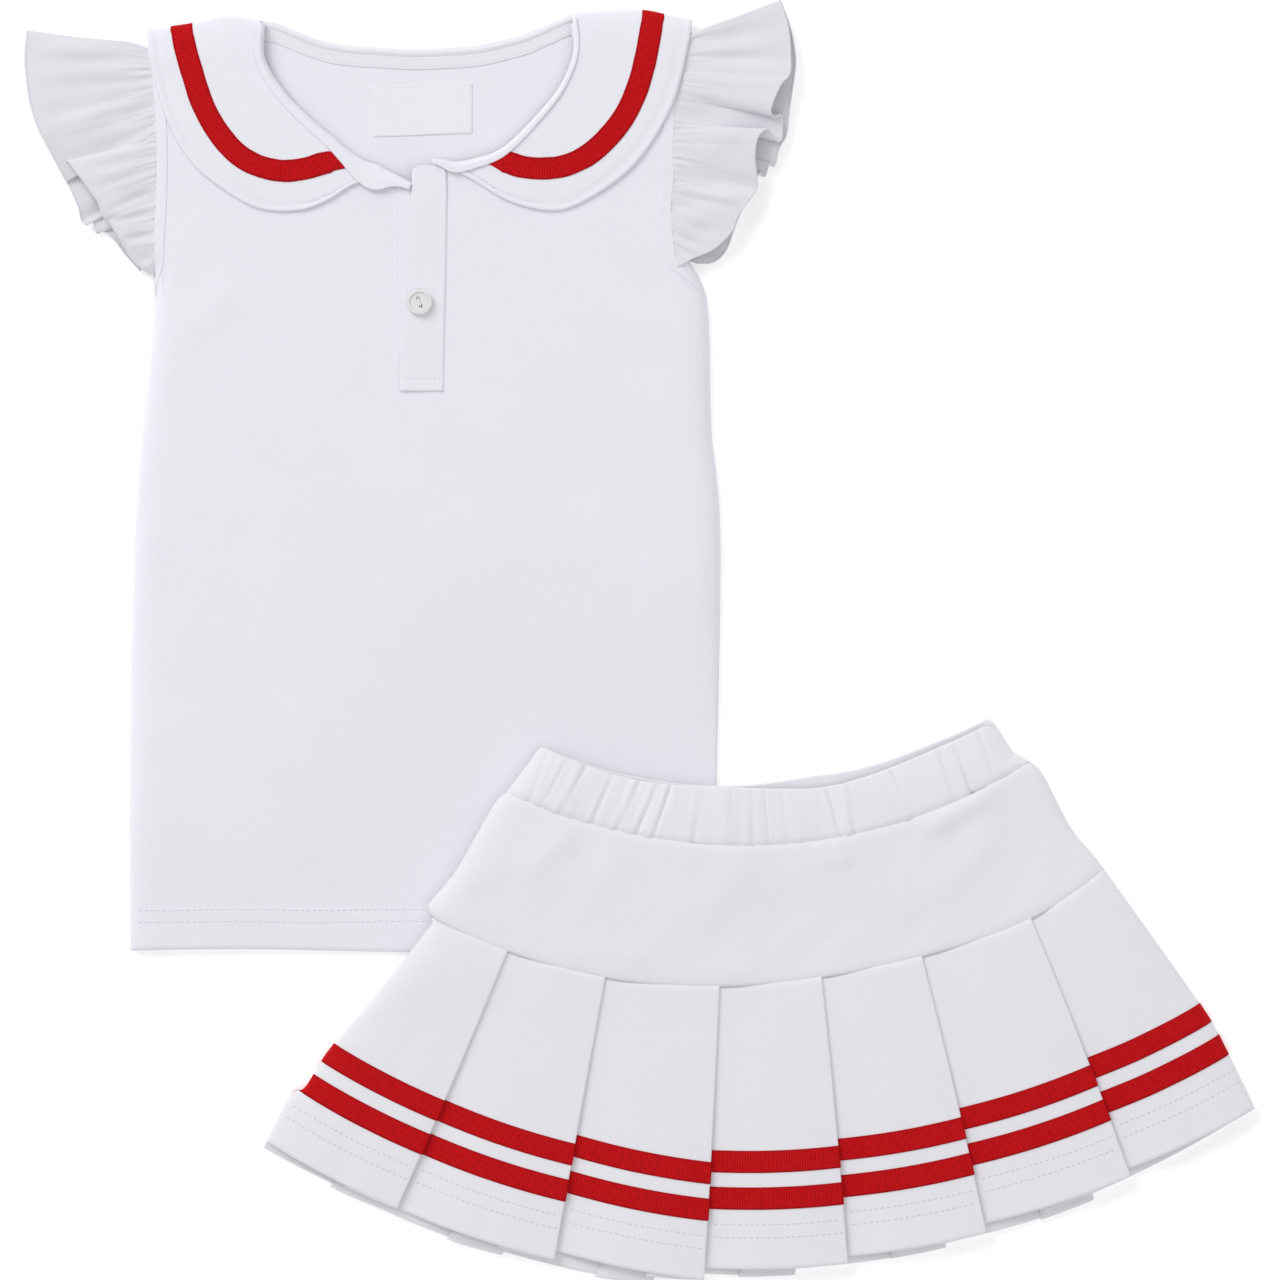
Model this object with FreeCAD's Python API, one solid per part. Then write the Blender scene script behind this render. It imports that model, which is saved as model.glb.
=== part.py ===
"""A two-piece child's cheer uniform, laid flat on a table with its front up.

The top is a sleeveless knit top with a flat round collar, a one-button placket and gathered flutter sleeves.
The skirt has an elastic waistband, a yoke and seven knife pleats on each side, with two ribbon stripes.
The skirt's left corner lies over the top's lower right corner.

Millimetres. +X is to the right, +Y towards the neck and +Z up from the table, which is at Z 0. The origin is
on the table, under the middle of the laid-out set. Places on the top are measured from its centre line at
TOP_X. Places on the skirt are a radius and an angle about the centre of its arcs.
"""

import FreeCAD, Part
import math
import os

from FreeCAD import Vector

# ---------------------------------------------------------------- driving dimensions
PLY = 0.8                 # one layer of the cotton knit
PLEAT_PLY = 0.6           # one layer of the thinner pleated knit
STRIP_T = 1.2             # a folded strip: collar or placket
RIBBON_T = 0.4            # grosgrain ribbon
TAPE_T = 0.25             # binding tape
SEWN = 0.1                # between plies that are stitched together
LOOSE = 0.4               # between pieces that can move apart
RIBBON_W = 10.8

TOP_X = -109.0            # centre line of the top
HEM_Y = -155.0            # bottom edge of the top
FRONT_Z = 6.6             # underside of the top's front, where it stands clear of the back
SIDE_ROLL = 28.0          # over this width the front comes down to the side seam
SHOULDER_ROLL = 20.0      # and over this to the shoulder seam
UNDERARM_Y = 180.0
NECK_BASE_Y = 234.0       # lowest point of the front neckline

COLLAR_DEPTH = 54.0       # from the back neck's edge to the collar's outer edge
COLLAR_RIBBON_IN = 11.5   # from the collar's outer edge to its ribbon
RISE_START = COLLAR_DEPTH + 22    # this far down from the neck the back rises over the folded collar
RISE_END = COLLAR_DEPTH + 4

PLACKET_LEFT, PLACKET_RIGHT = -9.0, 12.5
UNDERLAP_LEFT = -13.0
PLACKET_BASE_Y = 124.5
PLACKET_FOLD_Y = 180.0    # above this the overlap is free to fold open

BUTTON_X, BUTTON_Y = -1.0, 168.5
BUTTON_R, BUTTON_T = 6.4, 2.2
BUTTON_DISH = 0.6         # depth of the dish inside the rim
BUTTON_RIM = 1.5
HOLE_R = 0.85
HOLE_X, HOLE_Y = 0.68, 1.88         # half the way from one hole to the other, as sewn
THREAD_R = 0.45
SHANK_R = 0.8
BUTTONHOLE_L, BUTTONHOLE_W = 14.5, 4.2

LABEL_W, LABEL_H, LABEL_T = 49.0, 25.0, 0.3
LABEL_X, LABEL_Y = 0.5, 264.5
CARE_LABEL_W, CARE_LABEL_H = 33.0, 20.0
CARE_LABEL_Y = 31.0
CARE_LABEL_IN = 6.0       # from the side seam

SLEEVE_FRONT_T, SLEEVE_BACK_T = 2.4, 1.4
BINDING_W = 5.0

SKIRT_X, SKIRT_Y = 45.2, 157.6    # centre of the skirt's arcs
WAIST_R = 233.5           # top edge of the waistband
WAIST_SEAM_R = 260.5
YOKE_SEAM_R = 330.0
HEM_R = 473.5
BACK_HEM_DROP = 4.0       # the back's hem lies this much below the front's
BACK_WAIST_RISE = 2.0     # and its waistband this much above
SKIRT_GAP = 5.8           # room between the skirt's front and back
SKIRT_ROLL_DEG = 3.0      # over this angle the front comes down to the side seam
ELASTIC_T = 1.0
CASING_END_DEG = 0.3      # closed length of the casing at each side seam
PLEAT_DEPTH_DEG = 3.4     # how far each pleat's hidden part runs under its neighbour
RIBBON_TOPS = (61.3, 42.9)        # top edge of each stripe, up from the hem

# Outlines of the top. Edges are (Y, X), and the others (X, Y).
LEFT_EDGE = [(-155, -145.5), (-50, -145.5), (70, -142), (143, -135), (180, -133), (251, -133), (310, -137.5)]
RIGHT_EDGE = [(-155, 145), (40, 149), (105, 144.5), (176, 140), (188, 127), (200, 125), (255, 125),
              (315, 135)]
LEFT_NECK = [(234, -36), (255, -61), (270, -75), (285, -81), (312, -76)]
RIGHT_NECK = [(234, 14), (242, 39), (255, 54), (275, 69), (292, 74), (315, 75)]
TOP_EDGE = [(-150, 302), (-124, 306.5), (-95, 311.5), (-61, 304), (-38, 297.5), (-11, 295), (14, 295),
            (39, 298), (59, 303.5), (80, 312), (109, 314.5), (135, 307.5), (150, 304)]
COLLAR_EDGE = {
    "left": [(-136.5, 303), (-126, 260), (-98.5, 224.5), (-61, 215), (-42, 222)],
    "right": [(134.5, 306.5), (128, 267.5), (99, 230), (61.5, 218), (27, 228)],
}
COLLAR_FOLD = {"left": [(-97, 296), (-44, 230)], "right": [(90, 300), (31, 236)]}
SLEEVE_ROOT = {"left": [(-138.3, 294), (-134.8, 184)], "right": [(136.2, 300), (130, 196)]}
SLEEVE_EDGE = {
    "left": [(-196.5, 304), (-194.5, 270), (-177, 227.5), (-155, 199), (-143, 185)],
    "right": [(178.5, 319.6), (186.5, 286), (176.5, 237.5), (157, 208), (140, 197)],
}

# Sides and creases of the skirt, as (radius, angle): degrees from straight down, positive to the right
SKIRT_LEFT = [(228, -24.2), (330, -27.3), (475, -29.5)]
SKIRT_RIGHT = [(228, 32.6), (262, 34.4), (475, 33.2)]
CREASES = [(-19.6, -20.7), (-10.9, -10.7), (-1.0, -1.6), (7.9, 7.1), (16.8, 15.7), (26.8, 25.1)]
BACK_CREASES = [(-18.6, -21.4), (-9.6, -13.6), (-0.6, -4.4), (8.3, 4.0), (17.2, 13.2), (26.0, 22.6)]

# Heights of a pleat's plies over the lowest one: hidden part, turned-back part and face
TURNED_UP = PLEAT_PLY + LOOSE
FACE_UP = TURNED_UP + PLEAT_PLY + SEWN
PLEATS_T = FACE_UP + PLEAT_PLY
BACK_STACK = RIBBON_T + SEWN + PLEATS_T

FRONT_TOP = FRONT_Z + PLY
COLLAR_Z = FRONT_TOP + LOOSE
PLACKET_Z = FRONT_TOP + SEWN
BUTTON_Z = PLACKET_Z + STRIP_T + LOOSE
UNDER_COLLAR = RIBBON_T + SEWN + STRIP_T + SEWN    # height of the top's back over the folded collar
NECK_Z = UNDER_COLLAR + PLY + SEWN / 2


# ---------------------------------------------------------------- helpers
def ramp(start, end, x):
    """0 at start, 1 at end, straight between, and level outside."""
    return min(1.0, max(0.0, (x - start) / (end - start)))


def between(table, x):
    """The value at x on the straight runs between the table's points."""
    for (x0, y0), (x1, y1) in zip(table, table[1:]):
        if x <= x1:
            return y0 + (y1 - y0) * (max(x, x0) - x0) / (x1 - x0)
    return table[-1][1]


def spread(start, end, count):
    """count + 1 even values from start to end."""
    return [start + (end - start) * i / count for i in range(count + 1)]


def closed(shell):
    solid = Part.Solid(shell)
    if solid.Volume < 0:
        solid.reverse()
    return solid


def sheet(grid, thickness, gone=()):
    """A closed solid between a grid of points and the same grid raised by the thickness.

    gone holds the (row, column) cells that are cut out.
    """
    up = Vector(0, 0, thickness)
    rows, columns = len(grid) - 1, len(grid[0]) - 1

    def there(r, c):
        return 0 <= r < rows and 0 <= c < columns and (r, c) not in gone

    def face(*points):
        return Part.Face(Part.makePolygon(list(points) + [points[0]]))

    faces = []
    for r in range(rows):
        for c in range(columns):
            if not there(r, c):
                continue
            a, b, d, e = grid[r][c], grid[r][c + 1], grid[r + 1][c + 1], grid[r + 1][c]
            flat = abs((b - a).cross(e - a).dot(d - a)) < 1e-7
            for part in [(a, b, d, e)] if flat else [(a, b, d), (a, d, e)]:
                faces.append(face(*part))
                faces.append(face(*[p + up for p in part]))
            sides = [((r - 1, c), a, b), ((r, c + 1), b, d), ((r + 1, c), d, e), ((r, c - 1), e, a)]
            for beside, p, q in sides:
                if not there(*beside):
                    faces.append(face(p, q, q + up, p + up))
    shell = Part.Shell(faces)
    shell.sewShape()
    return closed(Part.Shell(shell.Faces)).removeSplitter()


def line_of(points, z=0.0):
    """A straight edge for two points, and a smooth curve for more."""
    places = [Vector(TOP_X + x, y, z) for x, y in points]
    if len(places) == 2:
        return Part.makeLine(places[0], places[1])
    curve = Part.BSplineCurve()
    curve.interpolate(places)
    return curve.toShape()


def plate(z, thickness, *lines):
    """A flat plate on the top, between lines of places. Straight edges close the gaps between the lines."""
    edges = []
    for line, following in zip(lines, lines[1:] + lines[:1]):
        edges.append(line_of(line, z))
        gap = math.dist(line[-1], following[0])
        if gap > 1e-6:
            edges.append(line_of([line[-1], following[0]], z))
    return Part.Face(Part.Wire(edges)).extrude(Vector(0, 0, thickness))


def block(z, thickness, left, right, low, high):
    """A rectangular plate on the top."""
    return plate(z, thickness, [(left, low), (right, low)], [(right, high), (left, high)])


def shifted(points, distance):
    """Places beside a smooth line through the points: to its left for a positive distance."""
    curve = Part.BSplineCurve()
    curve.interpolate([Vector(x, y, 0) for x, y in points])
    moved = []
    for t in spread(curve.FirstParameter, curve.LastParameter, 8):
        place, along = curve.value(t), curve.tangent(t)[0]
        moved.append((place.x - along.y * distance, place.y + along.x * distance))
    return moved


def save(name, *solids):
    """Writes one node. Its solids stay separate."""
    whole = solids[0] if len(solids) == 1 else Part.makeCompound(list(solids))
    for solid in whole.Solids:
        if not solid.isValid() or solid.Volume <= 0:
            print("PROBLEM: a solid of", name, "is not valid")
    whole.exportStep(os.path.join("parts", name + ".step"))


# ---------------------------------------------------------------- the top's shape
def polar(x, y):
    """Radius and angle of a point about the centre of the skirt's arcs."""
    return math.hypot(x - SKIRT_X, y - SKIRT_Y), math.degrees(math.atan2(x - SKIRT_X, SKIRT_Y - y))


def from_skirt(x, y):
    """How far a point lies outside the skirt's upper left corner, and 0 or less under it."""
    r, angle = polar(x, y)
    return max(WAIST_R - BACK_WAIST_RISE - r, math.radians(between(SKIRT_LEFT, r) - angle) * r)


def top_edge(x):
    return between(TOP_EDGE, x - TOP_X)


def back_z(x, y):
    """Underside of the top's back, which rises over the collar that is folded behind it."""
    return UNDER_COLLAR * ramp(RISE_START, RISE_END, top_edge(x) - y)


def front_z(x, y):
    """Underside of the top's front: down at the seams and under the skirt, clear of the back elsewhere."""
    from_side = min(x - TOP_X - between(LEFT_EDGE, y), between(RIGHT_EDGE, y) - x + TOP_X)
    side = max(ramp(0, SIDE_ROLL, from_side), ramp(UNDERARM_Y - 15, UNDERARM_Y + 10, y))
    shoulder = ramp(0, SHOULDER_ROLL, top_edge(x) - y)
    lowest = back_z(x, y) + PLY + SEWN
    return lowest + (FRONT_Z - lowest) * side * shoulder * ramp(14, 62, from_skirt(x, y))


BODY_ROWS = [HEM_Y, -140, -125, -110, -95, -80, -65, -50, -35, -20, -5, 10, 60, PLACKET_BASE_Y, 165, 180,
             190, 200, 215, NECK_BASE_Y]
SHOULDER_SHARES = (0.2, 0.42, 0.64, 0.78, 1.0)
SIDE_STEPS = (0, 14, 28)
BACK_COLUMNS = 14
MIDDLE_COLUMNS = (-85, -60, -36, UNDERLAP_LEFT, PLACKET_RIGHT, 14, 30, 45, 60, 75, 90, 105)
GAP_COLUMN = MIDDLE_COLUMNS.index(UNDERLAP_LEFT) + len(SIDE_STEPS)


def body_columns(y):
    """X of the grid's columns: close together at the sides, near the skirt and at the placket's edges."""
    left = [between(LEFT_EDGE, y) + step for step in SIDE_STEPS]
    right = [between(RIGHT_EDGE, y) - step for step in reversed(SIDE_STEPS[:2])]
    return [TOP_X + x for x in left + list(MIDDLE_COLUMNS) + right]


def shoulder_row(share):
    """A grid row between the neckline's base and the shoulder seams, across both shoulders and the neck."""
    base = body_columns(NECK_BASE_Y)
    middle = NECK_BASE_Y + share * (304 - NECK_BASE_Y)
    neck_left, neck_right = TOP_X + between(LEFT_NECK, middle), TOP_X + between(RIGHT_NECK, middle)
    side_left, side_right = TOP_X + between(LEFT_EDGE, middle), TOP_X + between(RIGHT_EDGE, middle)
    row = []
    for i, x in enumerate(base):
        if i < GAP_COLUMN:
            part = (x - base[0]) / (base[GAP_COLUMN - 1] - base[0])
            new = side_left + part * (neck_left - side_left)
        elif i > GAP_COLUMN + 1:
            part = (base[-1] - x) / (base[-1] - base[GAP_COLUMN + 2])
            new = side_right + part * (neck_right - side_right)
        else:
            new = x
        row.append((new, NECK_BASE_Y + share * (top_edge(new) - NECK_BASE_Y)))
    return row


def front_panel():
    rows = [[(x, y) for x in body_columns(y)] for y in BODY_ROWS]
    rows += [shoulder_row(share) for share in SHOULDER_SHARES]
    grid = [[Vector(x, y, front_z(x, y)) for x, y in row] for row in rows]
    slit = {(r, GAP_COLUMN) for r in range(BODY_ROWS.index(PLACKET_BASE_Y), len(BODY_ROWS) - 1)}
    neck_rows = range(len(BODY_ROWS) - 1, len(rows) - 1)
    neck = {(r, c) for r in neck_rows for c in range(GAP_COLUMN - 1, GAP_COLUMN + 2)}
    return sheet(grid, PLY, slit | neck)


def back_panel():
    """Its grid rows turn from straight across to the shape of the shoulders and the back neck."""
    straight, base = BODY_ROWS[0], 200.0
    grid = []
    for y in (straight, -50, 70, 143, 180, base):
        across = spread(between(LEFT_EDGE, y), between(RIGHT_EDGE, y), BACK_COLUMNS)
        grid.append([Vector(TOP_X + x, y, 0) for x in across])
    for drop in (RISE_START, RISE_END, 30, 1):
        row = []
        for x in spread(-132, 126, BACK_COLUMNS):
            x += TOP_X
            y = top_edge(x) - drop
            row.append(Vector(x, y, back_z(x, y)))
        grid.append(row)
    return sheet(grid, PLY)


# ---------------------------------------------------------------- collar, neck and labels
def collar_flap(side):
    """The collar's front half. It lifts on a straight fold beside the neckline."""
    return plate(COLLAR_Z, STRIP_T, COLLAR_EDGE[side], COLLAR_FOLD[side][::-1])


def collar_ribbon(side):
    turn = 1 if side == "left" else -1
    outer = shifted(COLLAR_EDGE[side], turn * COLLAR_RIBBON_IN)[:-1]
    inner = shifted(COLLAR_EDGE[side], turn * (COLLAR_RIBBON_IN + RIBBON_W))[:-1]
    return plate(COLLAR_Z + STRIP_T + SEWN, RIBBON_T, outer, inner[::-1])


def behind_neck(inset, half_width=124.0):
    """A line behind the neck at a distance inside the collar's outer edge, or along the neck for None."""
    places = []
    for share in spread(-1, 1, 12):
        x = half_width * share
        depth = COLLAR_DEPTH * (1 - 0.5 * abs(share) ** 2.4)
        places.append((x, top_edge(TOP_X + x) - (2.0 if inset is None else depth - inset)))
    return places


def collar_back():
    return plate(RIBBON_T + SEWN, STRIP_T, behind_neck(0.0), behind_neck(None)[::-1])


def collar_ribbon_back():
    outer, inner = behind_neck(COLLAR_RIBBON_IN), behind_neck(COLLAR_RIBBON_IN + RIBBON_W)
    return plate(0.0, RIBBON_T, outer, inner[::-1])


def neck_binding():
    """Tape along the inside of the back neck, and down each side of the front neckline."""
    back = [(x, top_edge(TOP_X + x) - 3.0) for x in spread(-66, 66, 8)]
    lower = [(x, y - 8.0) for x, y in back]
    solids = [plate(NECK_Z, TAPE_T, back, lower[::-1])]
    for neck, side in ((LEFT_NECK, 1), (RIGHT_NECK, -1)):
        line = [(x - side * 0.5, y) for y, x in neck[:-1]]
        outer, inner = shifted(line, side * 0.2), shifted(line, side * 3.0)
        solids.append(plate(FRONT_TOP + SEWN / 2, TAPE_T, outer, inner[::-1]))
    return solids


def neck_label():
    left, low = LABEL_X - LABEL_W / 2, LABEL_Y - LABEL_H / 2
    return block(NECK_Z, LABEL_T, left, left + LABEL_W, low, low + LABEL_H)


def care_label():
    right, low = between(RIGHT_EDGE, CARE_LABEL_Y) - CARE_LABEL_IN, CARE_LABEL_Y - CARE_LABEL_H / 2
    return block(PLY + SEWN, LABEL_T, right - CARE_LABEL_W, right, low, low + CARE_LABEL_H)


# ---------------------------------------------------------------- placket and button
def placket_underlap():
    """The strip that carries the button. It fills the slit in the front."""
    left, right = UNDERLAP_LEFT + SEWN, PLACKET_RIGHT - SEWN
    return block(FRONT_Z, PLY, left, right, PLACKET_BASE_Y + SEWN, NECK_BASE_Y)


def placket_overlap():
    """The stitched lower part of the strip on top, with its buttonhole."""
    low, high = PLACKET_BASE_Y - 1.5, PLACKET_FOLD_Y - LOOSE
    strip = block(PLACKET_Z, STRIP_T, PLACKET_LEFT, PLACKET_RIGHT, low, high)
    corner = Vector(TOP_X + BUTTON_X - BUTTONHOLE_W / 2, BUTTON_Y - BUTTONHOLE_L / 2, 0)
    return strip.cut(Part.makeBox(BUTTONHOLE_W, BUTTONHOLE_L, 2 * BUTTON_Z, corner))


def placket_flap():
    """The free upper end of the strip."""
    return block(PLACKET_Z + LOOSE, STRIP_T, PLACKET_LEFT, PLACKET_RIGHT, PLACKET_FOLD_Y, NECK_BASE_Y)


def button_place(x, y, z):
    return Vector(TOP_X + BUTTON_X + x, BUTTON_Y + y, BUTTON_Z + z)


def button():
    """A dished disc with a raised rim and two holes."""
    disc = Part.makeCylinder(BUTTON_R, BUTTON_T, button_place(0, 0, 0))
    rims = [edge for edge in disc.Edges if isinstance(edge.Curve, Part.Circle)]
    disc = disc.makeFillet(BUTTON_DISH, rims)
    dish_floor = button_place(0, 0, BUTTON_T - BUTTON_DISH)
    disc = disc.cut(Part.makeCylinder(BUTTON_R - BUTTON_RIM, BUTTON_T, dish_floor))
    for side in (-1, 1):
        hole = button_place(-side * HOLE_X, side * HOLE_Y, -BUTTON_T)
        disc = disc.cut(Part.makeCylinder(HOLE_R, 3 * BUTTON_T, hole))
    return disc


def button_thread():
    """The stitches through both holes, and the shank that runs down through the buttonhole."""
    top, bottom = BUTTON_T - BUTTON_DISH + THREAD_R + 0.05, -THREAD_R - 0.05
    shank_end = FRONT_TOP + LOOSE - BUTTON_Z
    solid = Part.makeCylinder(SHANK_R, bottom - shank_end, button_place(0, 0, shank_end))
    for side in (-1, 1):
        hole = button_place(-side * HOLE_X, side * HOLE_Y, bottom)
        solid = solid.fuse(Part.makeCylinder(THREAD_R, top - bottom, hole))
    for z in (top, bottom):
        bar = Part.makeCylinder(THREAD_R, 2 * math.hypot(HOLE_X, HOLE_Y), button_place(HOLE_X, -HOLE_Y, z),
                                Vector(-HOLE_X, HOLE_Y, 0))
        ends = [button_place(-side * HOLE_X, side * HOLE_Y, z) for side in (-1, 1)]
        solid = solid.fuse([bar] + [Part.makeSphere(THREAD_R, end) for end in ends])
    return solid


# ---------------------------------------------------------------- sleeves
def sleeve(side):
    """A gathered sleeve: its front half over the arm's way through, and its back half on the table."""
    outline = (SLEEVE_EDGE[side], SLEEVE_ROOT[side][::-1])
    return [plate(FRONT_Z - SEWN, SLEEVE_FRONT_T, *outline), plate(0.0, SLEEVE_BACK_T, *outline)]


def armhole_binding(side):
    table, turn = (LEFT_EDGE, 1) if side == "left" else (RIGHT_EDGE, -1)
    edge = [(between(table, y) + turn * 0.3, y) for y in (200, 225, 255, 288)]
    return plate(FRONT_TOP + SEWN / 2, TAPE_T, edge, [(x + turn * BINDING_W, y) for x, y in edge[::-1]])


# ---------------------------------------------------------------- the skirt
def place(r, angle):
    a = math.radians(angle)
    return SKIRT_X + r * math.sin(a), SKIRT_Y - r * math.cos(a)


def downhill(x, y):
    """Distance down the skirt's slope, from the top's corner towards the skirt's own lower right corner."""
    return (x - y) / math.sqrt(2)


SKIRT_RISE = 2 * PLY + 3 * SEWN + LOOSE           # its underside over the top's lower right corner
LOW_CORNER = downhill(*place(HEM_R + BACK_HEM_DROP, SKIRT_RIGHT[-1][1]))
TOP_CORNER = downhill(TOP_X + RIGHT_EDGE[0][1], HEM_Y)


def skirt_floor(x, y):
    """The skirt rests on the top's corner and, at its own lower right corner, on the table."""
    return SKIRT_RISE * (LOW_CORNER - downhill(x, y)) / (LOW_CORNER - TOP_CORNER)


def on_skirt(r, angle, height):
    x, y = place(r, angle)
    return Vector(x, y, skirt_floor(x, y) + height)


def front_base(r, angle):
    """Underside of the skirt's front over its floor. It comes down to the back at the side seams."""
    inside = min(angle - between(SKIRT_LEFT, r), between(SKIRT_RIGHT, r) - angle)
    return BACK_STACK + LOOSE + (SKIRT_GAP - LOOSE) * ramp(0, SKIRT_ROLL_DEG, inside)


def skirt_angles(r, inner=0.0):
    """Angles across the skirt, with one at the end of each side roll."""
    left, right = between(SKIRT_LEFT, r) + inner, between(SKIRT_RIGHT, r) - inner
    return [left] + spread(left + SKIRT_ROLL_DEG, right - SKIRT_ROLL_DEG, 18) + [right]


def skirt_band(radii, front, height, thickness, inner=0.0):
    """A sheet right across the front or the back, at a height over its base."""
    grid = []
    for r in radii:
        row = []
        for a in skirt_angles(r, inner):
            row.append(on_skirt(r, a, height + (front_base(r, a) if front else 0.0)))
        grid.append(row)
    return sheet(grid, thickness)


def waistband():
    """A folded casing for each half: closed along its top edge, and open below for the elastic."""
    halves = []
    room = ELASTIC_T + 2 * SEWN
    for front in (False, True):
        top = WAIST_R if front else WAIST_R - BACK_WAIST_RISE
        seam = WAIST_SEAM_R - LOOSE
        casing = skirt_band((top, seam), front, 0.0, room + 2 * PLEAT_PLY)
        pocket = skirt_band((top + 1.0, seam + 1.0), front, PLEAT_PLY, room, CASING_END_DEG)
        halves.append(casing.cut(pocket))
    return halves


def waist_elastic():
    height = PLEAT_PLY + SEWN
    radii = (WAIST_R + 1.5, WAIST_SEAM_R - 1.5)
    return [skirt_band(radii, front, height, ELASTIC_T, CASING_END_DEG) for front in (False, True)]


def yoke(front):
    height = FACE_UP - (PLY - PLEAT_PLY) if front else 0.0
    return skirt_band((WAIST_SEAM_R, 285, 308, YOKE_SEAM_R - 2 * LOOSE), front, height, PLY)


def crease(index, front, r):
    """Angle of a crease at a radius: the skirt's sides come before the first crease and after the last."""
    creases = CREASES if front else BACK_CREASES
    if index < 0:
        return between(SKIRT_LEFT, r)
    if index >= len(creases):
        return between(SKIRT_RIGHT, r)
    return between([(YOKE_SEAM_R, creases[index][0]), (HEM_R, creases[index][1])], r)


def pleat_depth(r):
    return PLEAT_DEPTH_DEG * (0.55 + 0.45 * ramp(YOKE_SEAM_R, HEM_R, r))


def pleat_profile(number, front, r):
    """The ply across a pleat at a radius, from its hidden edge to its fold, as (angle, height) steps.

    Heights are over the lowest ply. Pleats are numbered from 1 at the left. Each one's left side runs under
    its neighbour, and its right side lies on the next.
    """
    a, b = crease(number - 2, front, r), crease(number - 1, front, r)
    deep = pleat_depth(r)
    first, last = number == 1, number == len(CREASES) + 1
    if first:
        steps = [(a, 0.0), (a + SKIRT_ROLL_DEG, 0.5 * FACE_UP)]
    else:
        steps = [(a - deep, 0.0), (a - 0.25, 0.0), (a + 1.6, 0.5 * FACE_UP)]
    if last:
        steps += [(b - SKIRT_ROLL_DEG, 0.5 * FACE_UP), (b, 0.5 * FACE_UP)]
    else:
        steps += [(b - deep, FACE_UP), (b, FACE_UP)]
    if not front:
        steps = [(angle, FACE_UP - up) for angle, up in steps]
    return steps


def pleat_point(front, r, angle, height):
    base = front_base(r, angle) if front else RIBBON_T + SEWN
    return on_skirt(r, angle, base + height)


def pleat(number, front):
    """A knife pleat: its ply, and the part that turns back under its fold."""
    hem = HEM_R if front else HEM_R + BACK_HEM_DROP
    radii = spread(YOKE_SEAM_R + 2 * LOOSE, hem, 7)
    face = [[pleat_point(front, r, *step) for step in pleat_profile(number, front, r)] for r in radii]
    solids = [sheet(face, PLEAT_PLY)]
    if number <= len(CREASES):
        turned = TURNED_UP if front else FACE_UP - TURNED_UP
        rows = []
        for r in radii:
            fold = crease(number - 1, front, r)
            ends = (fold - pleat_depth(r) + 0.35, fold - 0.3)
            rows.append([pleat_point(front, r, a, turned) for a in ends])
        solids.append(sheet(rows, PLEAT_PLY))
    return solids


def pleat_ribbons(number, front):
    """The two stripes across a pleat's face."""
    solids = []
    height = PLEAT_PLY + SEWN if front else -RIBBON_T - SEWN
    for top in RIBBON_TOPS:
        rows = []
        for r in spread(HEM_R - top, HEM_R - top + RIBBON_W, 2):
            profile = pleat_profile(number, front, r)
            left, right = crease(number - 2, front, r) + 0.3, crease(number - 1, front, r) - 0.3
            steps = [left] + [angle for angle, _ in profile if left < angle < right] + [right]
            rows.append([pleat_point(front, r, a, between(profile, a) + height) for a in steps])
        solids.append(sheet(rows, RIBBON_T))
    return solids


def pleat_hinge(number):
    """The two ends of the seam that a front pleat swings on."""
    height = BACK_STACK + SKIRT_GAP + 0.5 * FACE_UP
    angles = [crease(index, True, YOKE_SEAM_R) for index in (number - 2, number - 1)]
    return [on_skirt(YOKE_SEAM_R, angle, height) for angle in angles]


# ---------------------------------------------------------------- build
def build():
    os.makedirs("parts", exist_ok=True)
    save("front_panel", front_panel())
    save("back_panel", back_panel())
    save("collar_back", collar_back())
    save("collar_ribbon_back", collar_ribbon_back())
    save("neck_binding", *neck_binding())
    save("neck_label", neck_label())
    save("care_label", care_label())
    save("placket_underlap", placket_underlap())
    save("placket_overlap", placket_overlap())
    save("placket_flap", placket_flap())
    save("button", button())
    save("button_thread", button_thread())
    for side in ("left", "right"):
        save("collar_" + side, collar_flap(side))
        save("collar_ribbon_" + side, collar_ribbon(side))
        save("sleeve_" + side, *sleeve(side))
        save("armhole_binding_" + side, armhole_binding(side))

    save("waistband", *waistband())
    save("waist_elastic", *waist_elastic())
    save("yoke_front", yoke(True))
    save("yoke_back", yoke(False))
    for number in range(1, len(CREASES) + 2):
        save("pleat_front_%d" % number, *pleat(number, True))
        save("pleat_back_%d" % number, *pleat(number, False))
        save("ribbon_front_%d" % number, *pleat_ribbons(number, True))
        save("ribbon_back_%d" % number, *pleat_ribbons(number, False))
        print("hinge", number, *[tuple(round(c, 3) for c in end) for end in pleat_hinge(number)])


build()
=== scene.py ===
"""A child's cheer uniform laid flat: a white knit top and a pleated skirt, both with red ribbon.

Sizes are in millimetres until a mesh is made. X runs right, Y towards the collar and Z up from the table.
The top is measured from its own centre line. The skirt is measured round the centre of its curve, by radius
and by angle in degrees from straight down.
"""

import math

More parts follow.
